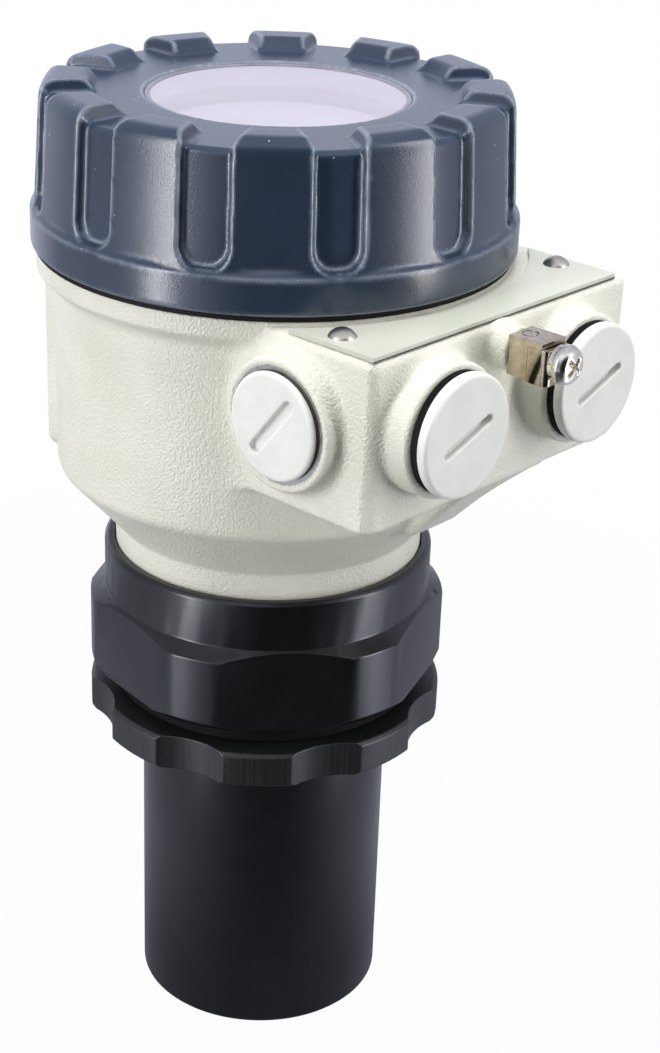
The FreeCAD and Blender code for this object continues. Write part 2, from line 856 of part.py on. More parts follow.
def terminals():
    foot = box_floor + board_standoff
    top = foot + board_thickness
    front = box_wall + board_margin - box_front
    board = block((-board_half_width, front, foot), (board_half_width, front + board_length, top))
    screw = turned([
        (0, box_floor),
        (board_screw_radius, box_floor),
        (board_screw_radius, top),
        (board_screw_head_radius, top),
        (board_screw_head_radius, top + board_screw_head_height, boss_round),
        (0, top + board_screw_head_height),
    ])
    hole = disc(board_screw_radius, foot, top)
    board_screws = []
    for x, y in board_standoff_places():
        place = vector(x, y, 0)
        board = board.cut(hole.translated(place))
        board_screws.append(screw.translated(place))
    save("terminal_board", board)
    save("board_screws", Part.makeCompound(board_screws))

    half = terminal_count * terminal_pitch / 2
    block_front = front + terminal_setback
    block_top = top + terminal_height
    body = block((-half, block_front, top), (half, block_front + terminal_depth, block_top))
    well = disc(terminal_screw_radius, block_top - terminal_screw_sunk - terminal_screw_depth, block_top)
    head = disc(terminal_screw_radius, block_top - terminal_screw_sunk - terminal_screw_depth,
                block_top - terminal_screw_sunk)
    groove = block((-terminal_screw_radius, -terminal_slot_width / 2, block_top - 2 * terminal_screw_sunk),
                   (terminal_screw_radius, terminal_slot_width / 2, block_top))
    head = head.cut(groove)
    wire_hole = disc(wire_hole_radius, 0, wire_hole_depth)
    heads = []
    for k in range(terminal_count):
        x = (k + 0.5) * terminal_pitch - half
        place = vector(x, block_front + terminal_depth / 2, 0)
        body = body.cut(well.translated(place))
        entry = (x, block_front, top + wire_hole_height)
        body = body.cut(stood(wire_hole, entry, (0, 1, 0)))
        heads.append(head.translated(place))
    save("terminal_block", body)
    save("terminal_screws", Part.makeCompound(heads))


save("housing", housing())
save("neck_seal", neck_seal())
save("sensor_body", sensor_body())
transducer()
save("lock_nut", lock_nut())
save("process_seal", process_seal())
save("cover", cover())
save("cover_seal", cover_seal())
window_pieces()
save("nameplate", nameplate())
save("nameplate_rivets", nameplate_rivets())
cable_plugs()
conduit_plugs()
save("earth_strap", earth_strap())
save("earth_saddle", earth_saddle())
save("earth_spring_washer", earth_spring_washer())
save("earth_screw", earth_screw())
electronics()
terminals()
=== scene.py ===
import bmesh
import bpy
import math
import numpy as np
from mathutils import Matrix, Vector


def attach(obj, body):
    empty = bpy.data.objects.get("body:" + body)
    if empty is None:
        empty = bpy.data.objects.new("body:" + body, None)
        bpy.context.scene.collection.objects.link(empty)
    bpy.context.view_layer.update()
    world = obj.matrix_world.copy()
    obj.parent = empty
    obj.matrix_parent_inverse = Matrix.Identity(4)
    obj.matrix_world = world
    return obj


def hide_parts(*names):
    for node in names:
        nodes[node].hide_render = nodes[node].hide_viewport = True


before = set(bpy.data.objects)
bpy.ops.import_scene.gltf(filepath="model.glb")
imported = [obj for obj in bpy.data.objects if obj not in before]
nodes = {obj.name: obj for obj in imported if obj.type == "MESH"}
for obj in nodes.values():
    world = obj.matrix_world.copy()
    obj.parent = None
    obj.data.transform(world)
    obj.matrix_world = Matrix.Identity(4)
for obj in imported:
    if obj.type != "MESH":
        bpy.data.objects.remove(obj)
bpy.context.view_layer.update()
mm = 0.001  # forms are worked out in millimetres and placed in metres
print("frame loaded:", len(nodes), "nodes")


# forms as distance fields: negative inside, in millimetres

def softMin(a, b, blend):
    share = np.clip(0.5 + 0.5 * (b - a) / blend, 0, 1)
    return b * (1 - share) + a * share - blend * share * (1 - share)


def softMax(a, b, blend):
    return -softMin(-a, -b, blend)


def between(value, low, high):
    return np.maximum(low - value, value - high)


def threadRidge(z, angle, pitch, width=1.3, steep=3.2):
    # how high a screw's ridge stands, from 0 at its foot to 1 on its crest
    phase = np.mod(z / pitch - angle / (2 * math.pi), 1.0)
    return np.clip(width - np.abs(phase - 0.5) * steep, 0, 1)


def roundCorners(corners, steps=7):
    # corners are (a, b) or (a, b, radius); rounded ones become short runs
    line = []
    for i, corner in enumerate(corners):
        here = np.array(corner[:2], float)
        if len(corner) < 3:
            line.append(here)
            continue
        back = np.array(corners[i - 1][:2], float) - here
        ahead = np.array(corners[(i + 1) % len(corners)][:2], float) - here
        backLength, aheadLength = np.linalg.norm(back), np.linalg.norm(ahead)
        back, ahead = back / backLength, ahead / aheadLength
        half = math.acos(np.clip(back @ ahead, -1, 1)) / 2
        reach = min(corner[2] / math.tan(half), 0.49 * min(backLength, aheadLength))
        start, stop = here + back * reach, here + ahead * reach
        for k in range(steps + 1):
            t = k / steps  # a conic through the corner stands for the arc
            weight = math.sin(half)
            top = start * (1 - t) ** 2 + here * 2 * weight * t * (1 - t) + stop * t ** 2
            line.append(top / ((1 - t) ** 2 + 2 * weight * t * (1 - t) + t ** 2))
    return np.array(line)


def outlineDistance(line, u, v):
    # signed distance to a closed outline
    u, v = np.broadcast_arrays(u, v)
    best = np.full(u.shape, np.inf)
    sign = np.ones(u.shape)
    for i in range(len(line)):
        a, b = line[i], line[i - 1]
        ex, ey = b - a
        wx, wy = u - a[0], v - a[1]
        along = np.clip((wx * ex + wy * ey) / (ex * ex + ey * ey), 0, 1)
        best = np.minimum(best, (wx - ex * along) ** 2 + (wy - ey * along) ** 2)
        above, below = v >= a[1], v < b[1]
        left = ex * wy > ey * wx
        sign = np.where((above & below & left) | (~above & ~below & ~left), -sign, sign)
    return sign * np.sqrt(best)


def tableOf(corners, margin=6.0, step=0.1):
    # distance to an outline, worked out once on a fine grid and read back between its points
    line = roundCorners(corners)
    low = line.min(0) - margin
    size = np.ceil((line.max(0) + margin - low) / step).astype(int) + 2
    u = low[0] + step * np.arange(size[0])[:, None]
    v = low[1] + step * np.arange(size[1])[None, :]
    table = outlineDistance(line, u, v)

    def read(a, b):
        a, b = np.broadcast_arrays(a, b)
        p = np.clip((a - low[0]) / step, 0, size[0] - 1.001)
        q = np.clip((b - low[1]) / step, 0, size[1] - 1.001)
        i, j = p.astype(int), q.astype(int)
        p, q = p - i, q - j
        return ((table[i, j] * (1 - p) + table[i + 1, j] * p) * (1 - q)
                + (table[i, j + 1] * (1 - p) + table[i + 1, j + 1] * p) * q)
    return read


def settle(field, points, rounds=4, reach=0.05):
    # carries points onto the field's surface
    for _ in range(rounds):
        x, y, z = points.T
        slope = np.stack([
            field(x + reach, y, z) - field(x - reach, y, z),
            field(x, y + reach, z) - field(x, y - reach, z),
            field(x, y, z + reach) - field(x, y, z - reach)], 1) / (2 * reach)
        steep = np.maximum((slope ** 2).sum(1), 0.2)
        points = points - np.clip(field(x, y, z) / steep, -0.5, 0.5)[:, None] * slope
    return points


def netOf(field, low, high, step):
    # one vertex for each grid cell that the surface crosses, and a quad for each crossed edge
    axes = [np.arange(a, b + step, step) for a, b in zip(low, high)]
    x, y, z = np.meshgrid(*axes, indexing="ij", sparse=True)
    values = np.asarray(field(x, y, z), np.float32)
    inside = values < 0
    cells = tuple(n - 1 for n in values.shape)
    total = np.zeros(cells + (3,), np.float32)
    count = np.zeros(cells, np.int8)

    def window(offset):
        return tuple(slice(o, o + n) for o, n in zip(offset, cells))

    for axis in range(3):
        second, third = (axis + 1) % 3, (axis + 2) % 3
        for p in (0, 1):
            for q in (0, 1):
                start = [0, 0, 0]
                start[second], start[third] = p, q
                stop = list(start)
                stop[axis] = 1
                first, last = values[window(start)], values[window(stop)]
                crossed = inside[window(start)] != inside[window(stop)]
                part = np.where(crossed, first / np.where(crossed, first - last, 1), 0)
                total[..., axis] += part
                total[..., second] += p * crossed
                total[..., third] += q * crossed
                count += crossed
    active = count > 0
    index = np.full(cells, -1, np.int64)
    index[active] = np.arange(active.sum())
    points = np.argwhere(active) + total[active] / count[active][:, None]
    points = np.array([a[0] for a in axes]) + points * step
    quads = []
    for axis in range(3):
        second, third = (axis + 1) % 3, (axis + 2) % 3
        here = [slice(1, -1)] * 3
        here[axis] = slice(0, -1)
        ahead = list(here)
        ahead[axis] = slice(1, None)
        crossed = inside[tuple(here)] != inside[tuple(ahead)]
        spots = np.argwhere(crossed)
        spots[:, second] += 1
        spots[:, third] += 1
        outward = inside[tuple(here)][crossed]
        corners = []
        for p, q in ((1, 1), (0, 1), (0, 0), (1, 0)):
            cell = spots.copy()
            cell[:, second] -= p
            cell[:, third] -= q
            corners.append(index[cell[:, 0], cell[:, 1], cell[:, 2]])
        quad = np.stack(corners, 1)
        quad[~outward] = quad[~outward][:, ::-1]
        quads.append(quad)
    return settle(field, points), np.concatenate(quads)


def turnedMesh(corners, segments=192):
    # points and faces of an outline turned about Z
    line = roundCorners(corners, 5)
    angles = np.linspace(0, 2 * math.pi, segments, endpoint=False)
    points = np.stack([np.outer(line[:, 0], np.cos(angles)), np.outer(line[:, 0], np.sin(angles)),
                       np.repeat(line[:, 1][:, None], segments, 1)], 2).reshape(-1, 3)
    faces = []
    for i in range(len(line)):
        a, b = i * segments, (i + 1) % len(line) * segments
        for k in range(segments):
            n = (k + 1) % segments
            faces.append((a + k, a + n, b + n, b + k))
    return points, faces


def threadMesh(core, crest, pitch, low, high, segments=160, samples=12):
    # a helical ridge on a core, tapered out at both ends
    rows = int((high - low) / pitch * samples) + 1
    z = np.linspace(low, high, rows)[:, None]
    angles = np.linspace(0, 2 * math.pi, segments, endpoint=False)[None, :]
    ridge = threadRidge(z, angles, pitch, 1.25, 3.0)
    fade = np.clip(np.minimum(z - low, high - z) / (pitch * 0.6), 0, 1)
    radius = core + (crest - core) * ridge * fade
    outer = np.stack([radius * np.cos(angles), radius * np.sin(angles), np.repeat(z, segments, 1)], 2)
    bore = np.full_like(radius, core - 0.5)
    inner = np.stack([bore * np.cos(angles), bore * np.sin(angles), np.repeat(z, segments, 1)], 2)
    points = np.concatenate([outer.reshape(-1, 3), inner[[0, -1]].reshape(-1, 3)])
    ring = np.arange(segments)
    first = rows * segments + ring
    order = np.concatenate([first[None, :], np.arange(rows)[:, None] * segments + ring[None, :],
                            first[None, :] + segments])
    n = np.roll(ring, -1)
    faces = []
    for i in range(len(order)):
        a, b = order[i], order[(i + 1) % len(order)]
        faces += list(zip(a, a[n], b[n], b))
    return points, faces


def facing(points, outward, seat):
    # carries a form made along +Z to its seat, turned to face outward
    turn = Vector((0, 0, 1)).rotation_difference(Vector(outward)).to_matrix()
    return points @ np.array(turn).T + np.array(seat)


def pieceFrom(name, points, faces, body, material, replaced=None, sharp=None):
    mesh = bpy.data.meshes.new(name)
    mesh.from_pydata((np.asarray(points) * mm).tolist(), [], [list(map(int, f)) for f in faces])
    mesh.shade_smooth()
    if sharp:
        mesh.set_sharp_from_angle(angle=math.radians(sharp))
    piece = bpy.data.objects.new(name, mesh)
    bpy.context.scene.collection.objects.link(piece)
    mesh.materials.append(material)
    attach(piece, body)
    if replaced:
        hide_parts(replaced)
    print("made", name, len(mesh.polygons), "faces")
    return piece


def edgedCopy(name, node, body, material, width, keep=28):
    # a clean copy of a solid's mesh: flat faces made whole and every edge broken by a small round
    form = bmesh.new()
    form.from_mesh(nodes[node].data)
    bmesh.ops.remove_doubles(form, verts=form.verts, dist=1e-7)
    bmesh.ops.dissolve_limit(form, angle_limit=math.radians(0.4), verts=form.verts, edges=form.edges)
    mesh = bpy.data.meshes.new(name)
    form.to_mesh(mesh)
    form.free()
    mesh.shade_smooth()
    mesh.set_sharp_from_angle(angle=math.radians(keep))
    mesh.materials.clear()
    mesh.materials.append(material)
    piece = bpy.data.objects.new(name, mesh)
    bpy.context.scene.collection.objects.link(piece)
    edge = piece.modifiers.new("brokenEdge", "BEVEL")
    edge.width = width * mm
    edge.segments = 3
    edge.limit_method = "ANGLE"
    edge.angle_limit = math.radians(keep)
    edge.harden_normals = True
    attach(piece, body)
    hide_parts(node)
    print("edged", name, len(mesh.polygons), "faces")
    return piece


def thinned(piece, most, hidden=None):
    # fewer triangles where the surface is flat, or only where it is hidden
    piece.data.calc_loop_triangles()
    triangles = len(piece.data.loop_triangles)
    if triangles <= most:
        return piece
    cut = piece.modifiers.new("thin", "DECIMATE")
    cut.ratio = most / triangles
    if hidden is not None:
        piece.vertex_groups.new(name="hidden").add(np.flatnonzero(hidden).tolist(), 1.0, "REPLACE")
        cut.vertex_group = "hidden"
    graph = bpy.context.evaluated_depsgraph_get()
    mesh = bpy.data.meshes.new_from_object(piece.evaluated_get(graph))
    piece.modifiers.clear()
    piece.vertex_groups.clear()
    piece.data = mesh
    mesh.shade_smooth()
    print("thinned", piece.name, "to", len(mesh.polygons), "faces")
    return piece


def markBends(piece, field, marks):
    # how sharply the surface bends at each vertex, kept with the mesh as the mask for the painted edge
    # highlight
    points = np.array([v.co for v in piece.data.vertices]) / mm
    x, y, z = points.T
    reach, low, high = marks["reach"], marks["low"], marks["high"]
    steps = reach * np.concatenate([np.eye(3), -np.eye(3)])
    around = sum(field(x + a, y + b, z + c) for a, b, c in steps)
    bend = np.abs(around - 6 * field(x, y, z)) / reach ** 2
    bend = np.clip((bend - low) / (high - low), 0, 1)
    ends = np.empty(2 * len(piece.data.edges), int)
    piece.data.edges.foreach_get("vertices", ends)
    ends = ends.reshape(-1, 2)
    share = 1 + np.bincount(ends.ravel(), minlength=len(bend))
    total = bend + sum(np.bincount(ends[:, a], bend[ends[:, b]], len(bend)) for a, b in ((0, 1), (1, 0)))
    bend = total / share  # averaged with the neighbours, so that the marks run as even lines
    shade = piece.data.attributes.new("bend", "FLOAT", "POINT")
    shade.data.foreach_set("value", np.clip(bend * marks["gain"], 0, 1))


# materials

def hexColour(code):
    parts = [int(code[i:i + 2], 16) / 255 for i in (1, 3, 5)]
    return [p / 12.92 if p <= 0.04045 else ((p + 0.055) / 1.055) ** 2.4 for p in parts] + [1.0]


def addNode(tree, kind, values=None, links=None, **settings):
    node = tree.nodes.new(kind)
    for key, value in settings.items():
        setattr(node, key, value)
    for socket, value in (values or {}).items():
        node.inputs[socket].default_value = value
    for socket, (source, output) in (links or {}).items():
        tree.links.new(source.outputs[output], node.inputs[socket])
    return node


def grain(size):
    return 1000.0 / size  # noise scale for a feature of that many millimetres


def startMaterial(name, values):
    material = bpy.data.materials.new(name)
    material.use_nodes = True
    tree = material.node_tree
    shader = tree.nodes["Principled BSDF"]
    for socket, value in values.items():
        shader.inputs[socket].default_value = value
    place = addNode(tree, "ShaderNodeTexCoord")
    return material, tree, shader, place


def twoTone(tree, source, output, first, second, low, high):
    # a ramp between two colours driven by a pattern
    ramp = addNode(tree, "ShaderNodeValToRGB", links={"Fac": (source, output)})
    ramp.color_ramp.elements[0].position = low
    ramp.color_ramp.elements[1].position = high
    ramp.color_ramp.elements[0].color = hexColour(first)
    ramp.color_ramp.elements[1].color = hexColour(second)
    return ramp


# polyester powder coat on sand-cast aluminium: cream and softly glossy,
# with the casting's pebbled grain under it
housingPaint = {"light": "#e6e6da", "dark": "#dfdfd2", "roughness": 0.38, "patch": 14,
                "pebble": 0.55, "pebbleDepth": 0.00046, "peel": 0.3, "peelDepth": 0.0001}
castPaint, tree, shader, place = startMaterial("powderCoatOnCasting", {
    "Roughness": housingPaint["roughness"], "IOR": 1.5})
mottle = addNode(tree, "ShaderNodeTexNoise", {"Scale": grain(housingPaint["patch"]), "Detail": 3.0},
                 {"Vector": (place, "Object")})
tone = twoTone(tree, mottle, "Fac", housingPaint["dark"], housingPaint["light"], 0.35, 0.65)
tree.links.new(tone.outputs["Color"], shader.inputs["Base Color"])
pebble = addNode(tree, "ShaderNodeTexNoise", {"Scale": grain(housingPaint["pebble"]), "Detail": 1.0},
                 {"Vector": (place, "Object")})
peel = addNode(tree, "ShaderNodeTexNoise", {"Scale": grain(housingPaint["peel"]), "Detail": 1.0},
               {"Vector": (place, "Object")})
coarse = addNode(tree, "ShaderNodeBump", {"Strength": 0.55, "Distance": housingPaint["pebbleDepth"]},
                 {"Height": (pebble, "Fac")})
fine = addNode(tree, "ShaderNodeBump", {"Strength": 0.5, "Distance": housingPaint["peelDepth"]},
               {"Height": (peel, "Fac"), "Normal": (coarse, "Normal")})
tree.links.new(fine.outputs["Normal"], shader.inputs["Normal"])

# satin powder coat on pressure-cast aluminium: slate blue with broad soft lights,
# a fine orange peel, specks of dust and a painted highlight: a paler colour laid along the sharp edges
# the edge colour below is a painted highlight that stands in for the lamps' glints along the rib and groove
# edges
coverPaint = {"deep": "#263244", "light": "#2d394d", "dust": "#9aa3b0", "edge": "#929bab",
              "roughness": 0.21, "patch": 18, "peel": 0.3, "peelDepth": 0.00005,
              "dustSpacing": 5.0, "dustShare": 0.035}
slatePaint, tree, shader, place = startMaterial("satinPowderCoat", {
    "Roughness": coverPaint["roughness"], "IOR": 1.56})
mottle = addNode(tree, "ShaderNodeTexNoise", {"Scale": grain(coverPaint["patch"]), "Detail": 3.0},
                 {"Vector": (place, "Object")})
tone = twoTone(tree, mottle, "Fac", coverPaint["deep"], coverPaint["light"], 0.3, 0.7)
specks = addNode(tree, "ShaderNodeTexVoronoi",
                 {"Scale": grain(coverPaint["dustSpacing"]), "Randomness": 1.0},
                 {"Vector": (place, "Object")})
dust = addNode(tree, "ShaderNodeMath", {1: coverPaint["dustShare"]}, {0: (specks, "Distance")},
               operation="LESS_THAN")
dusty = addNode(tree, "ShaderNodeMix", {7: hexColour(coverPaint["dust"])},
                {"Factor": (dust, "Value"), 6: (tone, "Color")}, data_type="RGBA")
# painted highlight: the edge colour is mixed in where the surface bends sharply
bend = addNode(tree, "ShaderNodeAttribute", attribute_name="bend")
edged = addNode(tree, "ShaderNodeMix", {7: hexColour(coverPaint["edge"])},
                {"Factor": (bend, "Fac"), 6: (dusty, 2)}, data_type="RGBA")
tree.links.new(edged.outputs[2], shader.inputs["Base Color"])
peel = addNode(tree, "ShaderNodeTexNoise", {"Scale": grain(coverPaint["peel"]), "Detail": 2.0},
               {"Vector": (place, "Object")})
fine = addNode(tree, "ShaderNodeBump", {"Strength": 0.6, "Distance": coverPaint["peelDepth"]},
               {"Height": (peel, "Fac")})
tree.links.new(fine.outputs["Normal"], shader.inputs["Normal"])

# polypropylene turned from bar: black and waxy, with fine rings left by the tool,
# drawn a little coarser than a real feed so that they show
turnedBlack = {"deep": "#0b0b0d", "light": "#121215", "roughness": 0.26, "patch": 9,
               "ring": 0.35, "ringDepth": 0.00002, "stretch": 0.02}
blackPlastic, tree, shader, place = startMaterial("turnedPolypropylene", {
    "Roughness": turnedBlack["roughness"], "IOR": 1.49})
mottle = addNode(tree, "ShaderNodeTexNoise", {"Scale": grain(turnedBlack["patch"]), "Detail": 3.0},
                 {"Vector": (place, "Object")})
tone = twoTone(tree, mottle, "Fac", turnedBlack["deep"], turnedBlack["light"], 0.3, 0.7)
tree.links.new(tone.outputs["Color"], shader.inputs["Base Color"])
stretched = addNode(tree, "ShaderNodeMapping",
                    {"Scale": (turnedBlack["stretch"], turnedBlack["stretch"], 1.0)},
                    {"Vector": (place, "Object")})
rings = addNode(tree, "ShaderNodeTexNoise", {"Scale": grain(turnedBlack["ring"]), "Detail": 2.0},
                {"Vector": (stretched, "Vector")})
lines = addNode(tree, "ShaderNodeBump", {"Strength": 0.6, "Distance": turnedBlack["ringDepth"]},
                {"Height": (rings, "Fac")})
tree.links.new(lines.outputs["Normal"], shader.inputs["Normal"])

# glass-filled polypropylene, milled: black with upright tool lines in the finger grips
milledBlack = {"deep": "#101111", "light": "#222422", "roughness": 0.42,
               "line": 0.5, "lineDepth": 0.00004, "stretch": 0.02}
nutPlastic, tree, shader, place = startMaterial("milledPolypropylene", {
    "Roughness": milledBlack["roughness"], "IOR": 1.49})
upright = addNode(tree, "ShaderNodeMapping", {"Scale": (1.0, 1.0, milledBlack["stretch"])},
                  {"Vector": (place, "Object")})
toolLines = addNode(tree, "ShaderNodeTexNoise", {"Scale": grain(milledBlack["line"]), "Detail": 3.0},
                    {"Vector": (upright, "Vector")})
tone = twoTone(tree, toolLines, "Fac", milledBlack["deep"], milledBlack["light"], 0.35, 0.7)
tree.links.new(tone.outputs["Color"], shader.inputs["Base Color"])
lines = addNode(tree, "ShaderNodeBump", {"Strength": 0.6, "Distance": milledBlack["lineDepth"]},
                {"Height": (toolLines, "Fac")})
tree.links.new(lines.outputs["Normal"], shader.inputs["Normal"])


def mouldedMaterial(name, deep, light, roughness, patch, texture, depth, ior=1.5, metallic=0.0, more=None):
    # two close tones in patches and a fine surface texture, both sized in millimetres
    values = {"Roughness": roughness, "IOR": ior, "Metallic": metallic}
    values.update(more or {})
    material, tree, shader, place = startMaterial(name, values)
    patches = addNode(tree, "ShaderNodeTexNoise", {"Scale": grain(patch), "Detail": 3.0},
                      {"Vector": (place, "Object")})
    tone = twoTone(tree, patches, "Fac", deep, light, 0.32, 0.68)
    tree.links.new(tone.outputs["Color"], shader.inputs["Base Color"])
    skin = addNode(tree, "ShaderNodeTexNoise", {"Scale": grain(texture), "Detail": 2.0},
                   {"Vector": (place, "Object")})
    bump = addNode(tree, "ShaderNodeBump", {"Strength": 0.5, "Distance": depth}, {"Height": (skin, "Fac")})
    tree.links.new(bump.outputs["Normal"], shader.inputs["Normal"])
    return material


# nylon, injection moulded: white-grey, even and softly shiny
plugNylon = mouldedMaterial("mouldedNylon", "#e4e5e1", "#ecede9", 0.38, 6, 0.6, 0.00001)
# nitrile rubber, moulded: deep black, dull
sealRubber = mouldedMaterial("mouldedNitrile", "#070707", "#0d0d0e", 0.7, 4, 0.4, 0.00002,
                             more={"Specular IOR Level": 0.2})
# compressed fibre, punched: dull warm grey
washerFibre = mouldedMaterial("punchedFibre", "#4d4a44", "#5c5850", 0.8, 2, 0.3, 0.00002)
# aluminium sheet with baked enamel: smooth beige-grey, more even than the casting beside it
plateEnamel = mouldedMaterial("enamelledSheet", "#c3c6b8", "#cbcdc0", 0.33, 20, 0.9, 0.000006)
# stainless steel, cold-headed: bright satin domes
rivetSteel = mouldedMaterial("coldHeadedSteel", "#b9b3a4", "#cfc9ba", 0.32, 2, 0.3, 0.000008, metallic=1.0)
# nickel on stamped brass: a warm pale metal that mirrors what stands round it
strapNickel = mouldedMaterial("nickelOnBrass", "#988a70", "#c4b9a8", 0.1, 3, 0.5, 0.000008, metallic=1.0)
# zinc on cold-headed steel: the brightest metal on the part
screwZinc = mouldedMaterial("brightZinc", "#cfcabd", "#e2ddd0", 0.16, 2, 0.3, 0.000004, metallic=1.0)
# polycarbonate, injection moulded: the white deck that shows softly through the window
deckPlastic = mouldedMaterial("mouldedPolycarbonate", "#d4d2dc", "#dddbe4", 0.45, 8, 0.7, 0.00001)
# glass-reinforced epoxy with printed solder mask: deep green, smooth and half glossy
boardEpoxy = mouldedMaterial("solderMask", "#1d5a32", "#246b3c", 0.3, 5, 0.5, 0.000008)
# polyamide, injection moulded: a lighter and duller green
terminalPlastic = mouldedMaterial("mouldedPolyamide", "#2f7a4a", "#378a55", 0.42, 5, 0.5, 0.00001)
# epoxy, cast in place: black and glossy, with slow waves
pottingEpoxy = mouldedMaterial("castEpoxy", "#101011", "#191a1b", 0.22, 7, 1.5, 0.00001)
# piezo ceramic, fired: pale tan, fine and even
firedCeramic = mouldedMaterial("firedCeramic", "#b8a98a", "#c9bb9d", 0.35, 4, 0.4, 0.00001)
# closed-cell foam, cut: dull charcoal with small cells
cellFoam = mouldedMaterial("closedCellFoam", "#2d2d2f", "#404043", 0.85, 1.2, 0.5, 0.0001)
# soft vinyl, extruded: a dark grey sheath with little shine
leadSheath = mouldedMaterial("extrudedSheath", "#1e1e20", "#2b2b2e", 0.5, 3, 0.4, 0.00001)
# brass, turned: warm yellow and bright
postBrass = mouldedMaterial("turnedBrass", "#a88a4a", "#c0a25e", 0.25, 3, 0.3, 0.00001, metallic=1.0)
# float glass, polished and coated: a milky film with a lavender cast that lets the white deck show
windowGlass = mouldedMaterial("coatedGlass", "#d9d3e5", "#dfdaea", 0.06, 30, 6, 0.000002, 1.5,
                              more={"Alpha": 0.6})
# silicone, laid wet round the window: grey, smooth and slightly shiny
beadSilicone = mouldedMaterial("laidSilicone", "#6f6e7a", "#838290", 0.3, 5, 0.8, 0.00001)
# aluminium, milled bare: grey metal where the paint was cut away
milledAluminium = mouldedMaterial("milledAluminium", "#8f8f8c", "#a4a4a0", 0.38, 2, 0.3, 0.00001,
                                  metallic=1.0)
# a thin dark strip along the name plate's front edge, where it meets the housing
darkPlateLine = mouldedMaterial("darkPlateEdge", "#2e2c27", "#3b3933", 0.6, 5, 0.5, 0.00001)
print("materials ready:", len(bpy.data.materials))


# screw cover: rim, wall, top plate, and ribs parted by round-ended grooves

cover = {"foot": 179.2, "rimRadius": 50.1, "rimTop": 186.4, "ledge": 1.0, "top": 209.6, "ribTop": 212.3,
         "ribLow": 49.0, "ribHigh": 47.6, "ribInner": 38.6, "rampRun": 2.2, "rampSlope": 0.8,
         "floorLow": 47.2, "floorHigh": 46.0, "ribs": 12, "ribAngle": 13.1, "ribFlat": 0.45, "ribRoot": 1.0,
         "shoulder": 3.6, "rampRound": 1.0, "skin": 1.5, "grooveEdge": 0.45, "ribFillet": 0.6,
         "grooveHalf": 4.45, "grooveFoot": 187.7, "grooveRound": 4.0, "grooveDraft": 0.42, "draftDepth": 0.6,
         "windowRadius": 26.9, "plateFoot": 205.2, "hubBore": 31.3, "hubOuter": 35.3, "hubFoot": 199.5,
         "bore": 42.1, "landBore": 46.6, "landTop": 183.7,
         "low": (-51.5, -51.5, 178), "high": (51.5, 51.5, 213.5), "grid": 0.48, "most": 196000}
paintedEdgeHighlight = {"reach": 0.45, "low": 0.9, "high": 1.8, "gain": 1.15}
ledgeTop = cover["rimTop"] + cover["ledge"]
coverProfile = tableOf([
    (cover["landBore"], cover["foot"], 0.3), (cover["rimRadius"], cover["foot"], 0.9),
    (cover["rimRadius"], cover["rimTop"], 0.6), (cover["rimRadius"] - cover["ledge"], ledgeTop),
    (cover["floorLow"], ledgeTop, 0.3), (cover["floorHigh"], cover["top"], 1.5),
    (cover["windowRadius"], cover["top"], 0.5), (cover["windowRadius"], cover["plateFoot"]),
    (cover["hubBore"], cover["plateFoot"]), (cover["hubBore"], cover["hubFoot"], 0.4),
    (cover["hubOuter"], cover["hubFoot"], 0.4), (cover["hubOuter"], cover["plateFoot"], 1.0),
    (cover["bore"], cover["plateFoot"], 1.0), (cover["bore"], cover["landTop"], 0.5),
    (cover["landBore"], cover["landTop"])])


def coverField(x, y, z):
    radius = np.sqrt(x * x + y * y)
    step = 2 * math.pi / cover["ribs"]
    groove = math.radians(cover["ribAngle"]) + step / 2
    turn = np.mod(np.arctan2(y, x) - groove + step / 2, step) - step / 2
    side = np.abs(radius * np.sin(turn))
    ahead = radius * np.cos(turn)
    rise = (z - cover["rimTop"]) / (cover["top"] - cover["rimTop"])
    floor = cover["floorLow"] + (cover["floorHigh"] - cover["floorLow"]) * rise
    outer = cover["ribLow"] + (cover["ribHigh"] - cover["ribLow"]) * rise
    flatter = 1 / np.cos(step / 2 - np.abs(turn)) - 1  # ribs are flatter than the ring
    outer = outer * (1 + cover["ribFlat"] * flatter)
    ramp = (cover["ribInner"] - cover["rampRun"] - radius
            + (z - cover["top"]) * cover["rampRun"] / (cover["ribTop"] - cover["top"])) * cover["rampSlope"]
    band = softMax(radius - outer, z - cover["ribTop"], cover["shoulder"])
    band = softMax(band, ramp, cover["rampRound"])
    hollow = np.maximum(radius - cover["floorHigh"] + cover["skin"], z - cover["top"] + cover["skin"])
    band = np.maximum(np.maximum(band, -hollow), cover["rimTop"] - cover["ribRoot"] - z)
    depth = np.maximum(np.maximum(ahead - floor, z - cover["top"]), -cover["draftDepth"])
    across = side - (cover["grooveHalf"] - cover["grooveRound"])
    under = cover["grooveFoot"] + cover["grooveRound"] - z
    slot = (np.hypot(np.maximum(across, 0), np.maximum(under, 0))
            + np.minimum(np.maximum(across, under), 0) - cover["grooveRound"])
    slot = slot - cover["grooveDraft"] * depth
    ribs = softMax(band, -slot, cover["grooveEdge"])
    return softMin(coverProfile(radius, z), ribs, cover["ribFillet"])


points, faces = netOf(coverField, cover["low"], cover["high"], cover["grid"])
coverCasting = pieceFrom("coverCasting", points, faces, "cover_turner", slatePaint, "cover")
fromAxis, height = np.hypot(points[:, 0], points[:, 1]), points[:, 2]  # thinned only where no view reaches
inside = (fromAxis < cover["floorHigh"] - 1) & (height < cover["plateFoot"] + 0.5)
inside |= (fromAxis < cover["landBore"] + 0.5) & (height < cover["landTop"] + 0.2)
markBends(thinned(coverCasting, cover["most"], inside), coverField, paintedEdgeHighlight)


# housing casting: round body on a conical foot, terminal box, bosses, keel and rear pad

